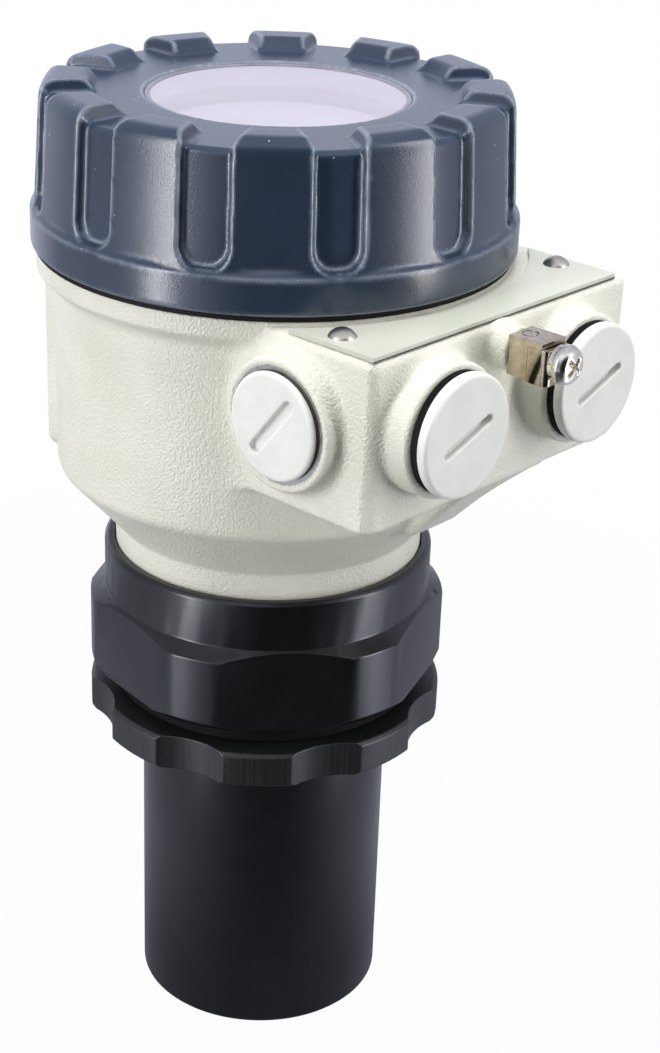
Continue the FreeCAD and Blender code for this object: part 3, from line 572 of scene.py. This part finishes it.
housing = {"foot": 98.5, "neck": 33.3, "neckTop": 117.9, "body": 45.5, "coneTop": 131.5, "bodyTop": 171.4,
           "flange": 49.0, "flangeFoot": 174.2, "flangeTop": 178.2, "sealSeat": 46.0, "sealTop": 182.0,
           "spigotCore": 40.9, "spigotCrest": 41.75, "spigotTop": 196.0, "spigotPitch": 3.0,
           "ridgesFrom": 183.0, "ridgesTo": 195.4, "openFoot": 90, "openTop": 200,
           "neckBore": 29.0, "neckBoreTop": 124.0, "cavityStep": 33.5, "cavity": 38.5, "cavityFoot": 131.0,
           "boxLeft": 36.6, "boxRight": 40.6, "boxFront": 60.4, "boxBack": 5, "boxFoot": 143.0,
           "boxTop": 177.3, "cutFoot": 1.9, "cutTop": 1.0,
           "wall": 5.0, "innerFront": 55.4, "innerFoot": 148.0, "innerTop": 172.3,
           "keelSide": [(-60.2, 143.1), (-45.9, 128.5, 2.5), (-30, 128.5), (-30, 144), (-60.2, 144)],
           "keelLeft": 6.2, "keelRight": 7.4, "keelFlare": 9.0, "flareRise": 8.0,
           "padHalf": 23.0, "padFace": 47.0, "padFoot": 125.0, "padTop": 173.8, "padRoot": 20,
           "entryZ": 161.7, "cableX": 20.2, "cableBoss": 13.3, "cableFace": 66.2, "cableBore": 10.0,
           "cableRoot": 50, "conduitY": -40.5, "conduitZ": 160.8, "conduitBoss": 13.4, "conduitFace": 4.2,
           "conduitRoot": 8.6, "conduitBore": 10.3, "conduitEnd": 10.6, "spotFace": 11.8, "spotDepth": 0.4,
           "earthZ": 172.5, "pillar": 4.5, "pillarFace": 64.9, "pillarRoot": 54, "earthBore": 2.3,
           "earthEnd": 56.5, "standoff": 2.6, "standoffFoot": 146, "standoffTop": 150,
           "standoffs": [(-21, -48.9), (21, -48.9), (-21, -36.9), (21, -36.9)],
           "low": (-51, -68, 97), "high": (51, 51, 198), "grid": 0.52, "most": 195000}
castRounds = {"corner": 0.7, "boxTop": 2.0, "boxFoot": 0.9, "keel": 1.6, "keelJoin": 0.8,
              "pad": 1.2, "padEnds": 3.0, "padJoin": 2.5, "cable": 1.0, "cableJoin": 2.2, "conduit": 1.3,
              "pillar": 0.6, "pillarJoin": 1.4, "inner": 2.0, "bores": 0.5,
              "boxJoin": {"end": 176.0, "rate": 1.2, "least": 0.4, "most": 2.4},
              "conduitJoin": {"end": 177, "rate": 1.6, "least": 0.6, "most": 2.8}}
pastAxis = -10  # outlines of solid forms start beyond the axis
bodyProfile = tableOf([
    (pastAxis, housing["foot"]), (housing["neck"], housing["foot"], 0.5),
    (housing["neck"], housing["neckTop"], 1.2), (housing["body"], housing["coneTop"], 3.0),
    (housing["body"], housing["bodyTop"], 3.5), (housing["flange"], housing["flangeFoot"], 0.9),
    (housing["flange"], housing["flangeTop"], 0.5), (housing["sealSeat"], housing["flangeTop"]),
    (housing["sealSeat"], housing["sealTop"], 0.4), (housing["spigotCore"], housing["sealTop"]),
    (housing["spigotCore"], housing["spigotTop"], 0.6), (pastAxis, housing["spigotTop"])])
cavityProfile = tableOf([
    (pastAxis, housing["openFoot"]), (housing["neckBore"], housing["openFoot"]),
    (housing["neckBore"], housing["neckBoreTop"], 1.0), (housing["cavityStep"], housing["cavityFoot"]),
    (housing["cavity"], housing["cavityFoot"], 1.0), (housing["cavity"], housing["openTop"]),
    (pastAxis, housing["openTop"])])
boxPlan = roundCorners([
    (-housing["boxLeft"], -housing["boxFront"]), (housing["boxRight"], -housing["boxFront"]),
    (housing["boxRight"], housing["boxBack"]), (-housing["boxLeft"], housing["boxBack"])])
keelSide = roundCorners(housing["keelSide"], 3)


def narrowing(z, join):
    # a blend that tightens towards the top edge of the box
    return np.clip((join["end"] - z) * join["rate"], join["least"], join["most"])


def housingField(x, y, z):
    radius = np.sqrt(x * x + y * y)
    wide = np.abs(x)
    beside = np.where(x > 0, x - housing["boxRight"], -x - housing["boxLeft"])
    box = outlineDistance(boxPlan, x, y)
    rise = (z - housing["boxFoot"]) / (housing["boxTop"] - housing["boxFoot"])
    cut = housing["cutFoot"] + (housing["cutTop"] - housing["cutFoot"]) * rise
    box = softMax(box, (beside - y - housing["boxFront"] + cut) * math.sqrt(0.5), castRounds["corner"])
    box = softMax(box, z - housing["boxTop"], castRounds["boxTop"])
    box = softMax(box, housing["boxFoot"] - z, castRounds["boxFoot"])
    flare = np.clip(1 - (housing["boxFoot"] - z) / housing["flareRise"], 0, 1) ** 2
    keel = np.maximum(x - housing["keelRight"] - housing["keelFlare"] * flare, -x - housing["keelLeft"])
    keel = softMax(outlineDistance(keelSide, y, z), keel, castRounds["keel"])
    box = softMin(box, keel, castRounds["keelJoin"])
    form = softMin(bodyProfile(radius, z), box, narrowing(z, castRounds["boxJoin"]))
    pad = softMax(wide - housing["padHalf"], y - housing["padFace"], castRounds["pad"])
    pad = softMax(pad, between(z, housing["padFoot"], housing["padTop"]), castRounds["padEnds"])
    form = softMin(form, np.maximum(pad, housing["padRoot"] - y), castRounds["padJoin"])
    fromCable = np.hypot(wide - housing["cableX"], z - housing["entryZ"])
    boss = softMax(fromCable - housing["cableBoss"], -y - housing["cableFace"], castRounds["cable"])
    form = softMin(form, np.maximum(boss, y + housing["cableRoot"]), castRounds["cableJoin"])
    fromConduit = np.hypot(y - housing["conduitY"], z - housing["conduitZ"])
    boss = softMax(fromConduit - housing["conduitBoss"], beside - housing["conduitFace"],
                   castRounds["conduit"])
    form = softMin(form, np.maximum(boss, -housing["conduitRoot"] - beside),
                   narrowing(z, castRounds["conduitJoin"]))
    fromEarth = np.hypot(x, z - housing["earthZ"])
    pillar = softMax(fromEarth - housing["pillar"], -y - housing["pillarFace"], castRounds["pillar"])
    form = softMin(form, np.maximum(pillar, y + housing["pillarRoot"]), castRounds["pillarJoin"])
    inner = softMax(beside + housing["wall"], between(y, -housing["innerFront"], housing["boxBack"]),
                    castRounds["inner"])
    inner = softMax(inner, between(z, housing["innerFoot"], housing["innerTop"]), castRounds["inner"])
    hollow = np.minimum(cavityProfile(radius, z), inner)
    for bore in (np.maximum(fromCable - housing["cableBore"], y + housing["cableRoot"]),
                 np.maximum(fromConduit - housing["conduitBore"], -housing["conduitEnd"] - beside),
                 np.maximum(fromConduit - housing["spotFace"],
                            housing["conduitFace"] - housing["spotDepth"] - beside),
                 np.maximum(fromEarth - housing["earthBore"], y + housing["earthEnd"])):
        hollow = np.minimum(hollow, bore)
    form = softMax(form, -hollow, castRounds["bores"])
    for sx, sy in housing["standoffs"]:
        post = np.maximum(np.hypot(x - sx, y - sy) - housing["standoff"],
                          between(z, housing["standoffFoot"], housing["standoffTop"]))
        form = np.minimum(form, post)
    return form


points, faces = netOf(housingField, housing["low"], housing["high"], housing["grid"])
housingCasting = pieceFrom("housingCasting", points, faces, "transmitter", castPaint,
                           "housing")
thinned(housingCasting, housing["most"])


# sensor body: plain tube, thread core, turned hexagon and collar in one piece

sensor = {"threadCore": 28.3, "threadTop": 29.8, "pitch": 2.309, "threadFoot": 66.0, "hexFoot": 82.9,
          "ridgesFrom": 66.2, "ridgesTo": 82.8, "slack": 0.1, "edge": 0.3}
sensorBody = edgedCopy("sensorBody", "sensor_body", "transmitter", blackPlastic,
                       sensor["edge"])
for vertex in sensorBody.data.vertices:  # the plain cylinder under the thread drops to the ridges' core
    radius, height = math.hypot(vertex.co.x, vertex.co.y) / mm, vertex.co.z / mm
    if (sensor["threadCore"] < radius < sensor["threadTop"] + sensor["slack"]
            and sensor["threadFoot"] - sensor["slack"] < height < sensor["hexFoot"] + sensor["slack"]):
        vertex.co.x *= sensor["threadCore"] / radius
        vertex.co.y *= sensor["threadCore"] / radius

points, faces = threadMesh(sensor["threadCore"], sensor["threadTop"], sensor["pitch"],
                           sensor["ridgesFrom"], sensor["ridgesTo"])
pieceFrom("pipeThread", points, faces, "transmitter", blackPlastic)

# the cover's thread is cut bare in the casting's spigot
points, faces = threadMesh(housing["spigotCore"], housing["spigotCrest"], housing["spigotPitch"],
                           housing["ridgesFrom"], housing["ridgesTo"])
pieceFrom("coverThread", points, faces, "transmitter", milledAluminium)


# lock nut: eight finger grips milled round a plain ring
lockNut = {"edge": 0.3}
edgedCopy("lockNut", "lock_nut", "lock_nut_turner", nutPlastic, lockNut["edge"])


# slotted plugs, made along +Z from the seat up, then turned to face outward

plugRounds = {"head": 0.9, "stem": 0.8, "overlap": 0.5, "slotFloor": 0.3, "slotEdge": 0.25}


def plugPiece(name, plug, seat, outward, node):
    slant = math.radians(plug["slant"])

    def plugField(x, y, z):
        radius = np.sqrt(x * x + y * y)
        head = softMax(radius - plug["radius"], between(z, 0, plug["head"]), plugRounds["head"])
        ridge = threadRidge(z, np.arctan2(y, x), plug["pitch"]) * plug["threadDepth"]
        stem = softMax((radius - plug["shank"] + plug["threadDepth"] - ridge) * 0.8,
                       between(z, -plug["length"], plugRounds["overlap"]), plugRounds["stem"])
        form = np.minimum(head, stem)
        c, s = math.cos(slant), math.sin(slant)
        along, across = x * c + y * s, np.abs(y * c - x * s)
        reach = np.maximum(np.abs(along) - plug["slotLength"] / 2 + plug["slotWidth"] / 2, 0)
        slot = np.hypot(reach, across) - plug["slotWidth"] / 2
        sunk = np.clip(along / plug["slotLength"] * 6 - 1.8, 0, 1)  # deeper at one end
        deep = plug["slotDepth"] + plug["sink"] * sunk
        slot = softMax(slot, plug["head"] - deep - z, plugRounds["slotFloor"])
        return softMax(form, -slot, plugRounds["slotEdge"])

    reach = plug["radius"] + 1
    points, faces = netOf(plugField, (-reach, -reach, -plug["length"] - 1),
                          (reach, reach, plug["head"] + 1), plug["grid"])
    points = facing(points, outward, seat)
    piece = pieceFrom(name, points, faces, node + "_turner", plugNylon, node)
    return thinned(piece, plug["most"])


cablePlug = {"radius": 12.2, "head": 2.5, "shank": 9.7, "length": 11.5, "pitch": 1.5, "threadDepth": 0.8,
             "slotLength": 14.0, "slotWidth": 1.8, "slotDepth": 1.4, "sink": 1.0, "slant": 20.0,
             "seat": -67.5, "grid": 0.3, "most": 120000}
conduitPlug = {"radius": 10.75, "head": 1.4, "shank": 10.0, "length": 12.0, "pitch": 1.814,
               "threadDepth": 0.9, "slotLength": 15.6, "slotWidth": 2.3, "slotDepth": 1.3, "sink": 0.0,
               "slant": -39.0, "seat": 4.15, "grid": 0.3, "most": 120000}
sides = (("left", -1, housing["boxLeft"]), ("right", 1, housing["boxRight"]))
for side, sign, wall in sides:
    seat = (sign * housing["cableX"], cablePlug["seat"], housing["entryZ"])
    plugPiece("cablePlug." + side, cablePlug, seat, (0, -1, 0), "cable_plug_" + side)
    seat = (sign * (wall + conduitPlug["seat"]), housing["conduitY"], housing["conduitZ"])
    plugPiece("conduitPlug." + side, conduitPlug, seat, (sign, 0, 0), "conduit_plug_" + side)


# bare metal of the spot faces under the conduit plugs
spotRing = {"inner": 10.4, "outer": 11.7, "proud": 0.05}
for side, sign, wall in sides:
    floorAt = wall + housing["conduitFace"] - housing["spotDepth"]
    points, faces = turnedMesh([
        (spotRing["inner"], -spotRing["proud"]), (spotRing["outer"], -spotRing["proud"]),
        (spotRing["outer"], spotRing["proud"]), (spotRing["inner"], spotRing["proud"])], 96)
    points = facing(points, (sign, 0, 0), (sign * floorAt, housing["conduitY"], housing["conduitZ"]))
    pieceFrom("spotRing." + side, points, faces, "transmitter", milledAluminium, sharp=30)


# earth screw: pan head with a cross recess

earthScrew = {"radius": 2.0, "length": 18.3, "pitch": 0.7, "threadDepth": 0.4, "head": 3.9, "height": 3.0,
              "armLength": 4.4, "armWidth": 0.95, "recess": 1.7, "armAngle": 45.0,
              "armTaper": 0.5, "armJoin": 0.3, "recessEdge": 0.2, "overlap": 0.4,
              "seat": (0, -75.2, 172.5), "low": (-4.6, -4.6, -19), "high": (4.6, 4.6, 3.6), "grid": 0.16}
panProfile = tableOf([
    (-5, 0), (earthScrew["head"], 0, 0.3), (earthScrew["head"], 1.2, 0.4), (3.2, 2.6, 1.6),
    (0.8, earthScrew["height"], 1.0), (-5, earthScrew["height"])], 3.0, 0.04)


def earthScrewField(x, y, z):
    radius = np.sqrt(x * x + y * y)
    ridge = threadRidge(z, np.arctan2(y, x), earthScrew["pitch"]) * earthScrew["threadDepth"]
    stem = np.maximum((radius - earthScrew["radius"] + earthScrew["threadDepth"] - ridge) * 0.7,
                      between(z, -earthScrew["length"], earthScrew["overlap"]))
    form = np.minimum(panProfile(radius, z), stem)
    sunk = earthScrew["height"] - z
    arms = []
    for k in range(2):
        angle = math.radians(earthScrew["armAngle"] + 90 * k)
        along = np.abs(x * math.cos(angle) + y * math.sin(angle))
        across = np.abs(y * math.cos(angle) - x * math.sin(angle))
        arms.append(np.maximum(across - earthScrew["armWidth"] / 2,
                               along - earthScrew["armLength"] / 2 + sunk * earthScrew["armTaper"]))
    cross = softMin(arms[0], arms[1], earthScrew["armJoin"])
    cross = np.maximum(cross, earthScrew["height"] - earthScrew["recess"] - z)
    return softMax(form, -cross, earthScrew["recessEdge"])


points, faces = netOf(earthScrewField, earthScrew["low"], earthScrew["high"], earthScrew["grid"])
points = facing(points, (0, -1, 0), earthScrew["seat"])
pieceFrom("earthScrew", points, faces, "transmitter", screwZinc, "earth_screw")


# stamped pieces: folded strap, wire saddle and name plate
stamped = {"strapEdge": 0.3, "plateEdge": 0.15}
edgedCopy("earthStrap", "earth_strap", "transmitter", strapNickel, stamped["strapEdge"])
edgedCopy("earthSaddle", "earth_saddle", "transmitter", strapNickel, stamped["strapEdge"])
edgedCopy("namePlate", "nameplate", "transmitter", plateEnamel, stamped["plateEdge"])


# window: a stepped pane turned about the axis, and the sealant bead round it

windowPane = {"axis": 0.02, "foot": 201.5, "flange": 31.0, "flangeTop": 204.5, "radius": 26.7, "top": 208.9}
points, faces = turnedMesh([
    (windowPane["axis"], windowPane["foot"]), (windowPane["flange"], windowPane["foot"], 0.3),
    (windowPane["flange"], windowPane["flangeTop"], 0.3), (windowPane["radius"], windowPane["flangeTop"]),
    (windowPane["radius"], windowPane["top"]), (windowPane["axis"], windowPane["top"])])
pieceFrom("windowPane", points, faces, "cover_travel", windowGlass, "window", 25)

windowBead = {"inner": 25.8, "outer": 26.85, "foot": 208.8, "top": 209.3, "slope": 0.3}
points, faces = turnedMesh([
    (windowBead["inner"], windowBead["foot"]), (windowBead["outer"], windowBead["foot"]),
    (windowBead["outer"], windowBead["top"], 0.2),
    (windowBead["inner"], windowBead["top"] - windowBead["slope"])])
pieceFrom("windowBead", points, faces, "cover_travel", beadSilicone, sharp=40)


# a thin dark strip along the name plate's front edge, where it meets the housing
plateLine = {"left": -35.8, "right": 36.9, "front": -59.75, "back": -59.2, "foot": 177.25, "top": 177.5}
plan = [(plateLine["left"], plateLine["front"]), (plateLine["right"], plateLine["front"]),
        (plateLine["right"], plateLine["back"]), (plateLine["left"], plateLine["back"])]
corners = [(x, y, z) for z in (plateLine["foot"], plateLine["top"]) for x, y in plan]
faces = [(3, 2, 1, 0), (4, 5, 6, 7), (0, 1, 5, 4), (1, 2, 6, 5), (2, 3, 7, 6), (3, 0, 4, 7)]
pieceFrom("plateEdgeLine", corners, faces, "transmitter", darkPlateLine, sharp=30)


# finishes for the solids that stay
finishes = {
    "neck_seal": sealRubber, "matching_layer": pottingEpoxy, "piezo_disc": firedCeramic,
    "backing_foam": cellFoam, "sensor_pot": pottingEpoxy, "sensor_lead": leadSheath,
    "cover_seal": sealRubber, "nameplate_rivets": rivetSteel, "module_deck": deckPlastic,
    "electronics_module": pottingEpoxy, "module_posts": postBrass, "module_screws": screwZinc,
    "terminal_board": boardEpoxy, "board_screws": screwZinc, "terminal_block": terminalPlastic,
    "terminal_screws": screwZinc, "window_gasket": sealRubber, "window_retainer": blackPlastic,
    "process_seal": sealRubber, "cable_plug_seal_left": sealRubber, "cable_plug_seal_right": sealRubber,
    "conduit_plug_seal_left": washerFibre, "conduit_plug_seal_right": washerFibre,
    "earth_spring_washer": screwZinc}
for name, material in finishes.items():
    node = nodes[name]
    node.data.materials.clear()
    node.data.materials.append(material)
print("finishes set:", len(finishes))


# studio: a pale paper floor in a white room, tall soft boxes left and right, broad ones behind and above

studio = {"floorRadius": 0.42, "floorSides": 96, "floorDrop": 0.0002, "floorColour": "#808080",
          "glow": 0.975, "clearFrom": 0.12, "clearTo": 0.95,
          "floorShine": [(0.02, 0.08), (0.064, 0.2), (0.143, 0.75), (0.195, 1.9), (0.25, 4.8),
                         (0.309, 2.3), (0.375, 1.3), (0.504, 0.85), (0.761, 0.55)],
          "tubeShine": [(0.0, 0.16), (0.05, 0.26), (0.15, 0.44), (0.25, 0.58), (0.42, 0.68),
                        (0.6, 0.6), (0.8, 0.52)],
          "roomShine": [(0.06, 0.02), (0.13, 0.2), (0.22, 1.3), (0.27, 1.6), (0.36, 0.95),
                        (0.6, 0.85), (0.86, 0.6), (0.93, 1.1)],
          "shineTop": 5.0, "tubeFrom": 0.12, "tubeTo": 0.19,
          "footShine": 0.29, "footFrom": 0.035, "footTo": 0.075,
          "white": (1, 1, 1, 1), "roomTint": (0.80, 0.83, 1.0, 1.0),
          "ambient": 0.34, "ambientFront": 0.02, "ambientSpan": 0.4,
          "middle": (0, 0, 0.13)}
towards = (0.742, 0.670, 0.0)  # level direction away from the viewer
aside = (0.620, 0.785, 0.0)  # the same, midway between what the two boxes light on the floor
across = (0.440, 0.898, 0.0)  # and for the room


def shineAround(tree, source, output, stops, axis):
    # what gloss sees round the object: dim in front, bright at the sides
    along = addNode(tree, "ShaderNodeVectorMath", {1: axis}, {0: (source, output)}, operation="DOT_PRODUCT")
    share = addNode(tree, "ShaderNodeMapRange", {"From Min": -1.0, "From Max": 1.0},
                    {"Value": (along, "Value")})
    ramp = addNode(tree, "ShaderNodeValToRGB", links={"Fac": (share, "Result")})
    while len(ramp.color_ramp.elements) < len(stops):
        ramp.color_ramp.elements.new(0.5)
    for stop, (position, level) in zip(ramp.color_ramp.elements, stops):
        stop.position = position
        stop.color = [level / studio["shineTop"]] * 3 + [1.0]
    return addNode(tree, "ShaderNodeMath", {1: studio["shineTop"]}, {0: (ramp, "Color")},
                   operation="MULTIPLY")


floorMesh = bpy.data.meshes.new("studioFloor")
rim = [(studio["floorRadius"] * math.cos(a), studio["floorRadius"] * math.sin(a), 0)
       for a in np.linspace(0, 2 * math.pi, studio["floorSides"], endpoint=False)]
floorMesh.from_pydata(rim, [], [tuple(range(studio["floorSides"]))])
floor = bpy.data.objects.new("studioFloor", floorMesh)
bpy.context.scene.collection.objects.link(floor)
floor.location.z = -studio["floorDrop"]

# paper: takes the object's shadow, is white to the eye and shows the lit room to gloss
floorPaint, tree, shader, place = startMaterial("studioPaper", {"Roughness": 0.9})
shader.inputs["Base Color"].default_value = hexColour(studio["floorColour"])
path = addNode(tree, "ShaderNodeLightPath")
reach = addNode(tree, "ShaderNodeVectorMath", links={0: (place, "Object")}, operation="LENGTH")
fade = addNode(tree, "ShaderNodeMapRange",
               {"From Min": studio["clearFrom"], "From Max": studio["floorRadius"] * studio["clearTo"],
                "To Min": studio["glow"], "To Max": 1.0},
               {"Value": (reach, "Value")}, interpolation_type="SMOOTHSTEP")
direct = addNode(tree, "ShaderNodeMath",
                 links={0: (path, "Is Camera Ray"), 1: (path, "Is Transmission Ray")}, operation="MAXIMUM")
direct = addNode(tree, "ShaderNodeMath", links={0: (direct, "Value"), 1: (fade, "Result")},
                 operation="MULTIPLY")
part = addNode(tree, "ShaderNodeMath", links={0: (direct, "Value"), 1: (path, "Is Glossy Ray")},
               operation="MAXIMUM")
bearing = addNode(tree, "ShaderNodeVectorMath", links={0: (place, "Object")}, operation="NORMALIZE")
far = shineAround(tree, bearing, "Vector", studio["floorShine"], aside)
near = shineAround(tree, bearing, "Vector", studio["tubeShine"], aside)
away = addNode(tree, "ShaderNodeMapRange", {"From Min": studio["tubeFrom"], "From Max": studio["tubeTo"]},
               {"Value": (reach, "Value")})
sideways = addNode(tree, "ShaderNodeMix",
                   links={"Factor": (away, "Result"), "A": (near, "Value"), "B": (far, "Value")})
close = addNode(tree, "ShaderNodeMapRange", {"From Min": studio["footFrom"], "From Max": studio["footTo"]},
                {"Value": (reach, "Value")})
sideways = addNode(tree, "ShaderNodeMix", {"A": studio["footShine"]},
                   {"Factor": (close, "Result"), "B": (sideways, "Result")})
dim = addNode(tree, "ShaderNodeMix", {"A": 1.0},
              {"Factor": (path, "Is Glossy Ray"), "B": (sideways, "Result")})
tint = addNode(tree, "ShaderNodeMix", {6: studio["white"], 7: studio["roomTint"]},
               {"Factor": (path, "Is Glossy Ray")}, data_type="RGBA")
glow = addNode(tree, "ShaderNodeEmission", links={"Color": (tint, 2), "Strength": (dim, "Result")})
paper = addNode(tree, "ShaderNodeMixShader",
                links={0: (part, "Value"), 1: (shader, "BSDF"), 2: (glow, "Emission")})
tree.links.new(paper.outputs["Shader"], tree.nodes["Material Output"].inputs["Surface"])
floorMesh.materials.append(floorPaint)

# room: white to the eye, banded light to gloss, and a soft light from behind
world = bpy.data.worlds.new("studioRoom")
bpy.context.scene.world = world
world.use_nodes = True
tree = world.node_tree
room = tree.nodes["Background"]
path = addNode(tree, "ShaderNodeLightPath")
where = addNode(tree, "ShaderNodeTexCoord")
away = addNode(tree, "ShaderNodeVectorMath", {1: towards}, {0: (where, "Generated")},
               operation="DOT_PRODUCT")
behind = shineAround(tree, where, "Generated", studio["roomShine"], across)
glossy = addNode(tree, "ShaderNodeMath", links={0: (behind, "Value"), 1: (path, "Is Glossy Ray")},
                 operation="MULTIPLY")
seen = addNode(tree, "ShaderNodeMath",
               links={0: (path, "Is Camera Ray"), 1: (path, "Is Transmission Ray")}, operation="MAXIMUM")
white = addNode(tree, "ShaderNodeMath", links={0: (seen, "Value"), 1: (glossy, "Value")},
                operation="MAXIMUM")
around = addNode(tree, "ShaderNodeMapRange",
                 {"From Min": -studio["ambientSpan"], "From Max": studio["ambientSpan"],
                  "To Min": studio["ambientFront"], "To Max": studio["ambient"]},
                 {"Value": (away, "Value")}, interpolation_type="SMOOTHSTEP")
soft = addNode(tree, "ShaderNodeMath", links={0: (around, "Result"), 1: (path, "Is Diffuse Ray")},
               operation="MULTIPLY")
level = addNode(tree, "ShaderNodeMath", links={0: (white, "Value"), 1: (soft, "Value")},
                operation="MAXIMUM")
tree.links.new(level.outputs["Value"], room.inputs["Strength"])
tint = addNode(tree, "ShaderNodeMix", {6: studio["white"], 7: studio["roomTint"]},
               {"Factor": (path, "Is Glossy Ray")}, data_type="RGBA")
tree.links.new(tint.outputs[2], room.inputs["Color"])

softBoxes = {
    "leftBox": {"place": (-1.075, 0.180, 0.25), "wide": 0.15, "tall": 1.5, "power": 12.2, "mirrored": True},
    "backBox": {"place": (-0.6, 0.95, 0.4), "wide": 0.5, "tall": 1.2, "power": 2.6, "mirrored": False},
    "rightBox": {"place": (0.351, -0.799, 0.12), "wide": 0.13, "tall": 1.3, "power": 7.2, "mirrored": True},
    "topBox": {"place": (0.0, -0.05, 1.15), "wide": 0.8, "tall": 0.8, "power": 13.0, "mirrored": False}}
for name, box in softBoxes.items():
    lamp = bpy.data.lights.new(name, "AREA")
    lamp.shape = "RECTANGLE"
    lamp.size, lamp.size_y, lamp.energy = box["wide"], box["tall"], box["power"]
    stand = bpy.data.objects.new(name, lamp)
    bpy.context.scene.collection.objects.link(stand)
    stand.location = box["place"]
    aim = Vector(studio["middle"]) - Vector(box["place"])
    stand.rotation_euler = aim.to_track_quat("-Z", "Y").to_euler()
    stand.visible_glossy = box["mirrored"]

viewpoint = {"lens": 73.25, "sensor": 36.0, "nearest": 0.01, "place": (-0.3074, -0.2958, 0.3123),
             "right": (0.68119, -0.73142, 0.03289), "up": (0.28863, 0.30954, 0.90603),
             "back": (-0.67286, -0.60769, 0.42193)}
view = bpy.data.cameras.new("view")
view.lens = viewpoint["lens"]
view.sensor_width = viewpoint["sensor"]
view.clip_start = viewpoint["nearest"]
camera = bpy.data.objects.new("view", view)
bpy.context.scene.collection.objects.link(camera)
columns = [viewpoint[key] for key in ("right", "up", "back", "place")]
camera.matrix_world = Matrix([[column[i] for column in columns] for i in range(3)] + [(0, 0, 0, 1)])
bpy.context.scene.camera = camera
bpy.context.scene.view_settings.view_transform = "Standard"
print("studio and camera ready")
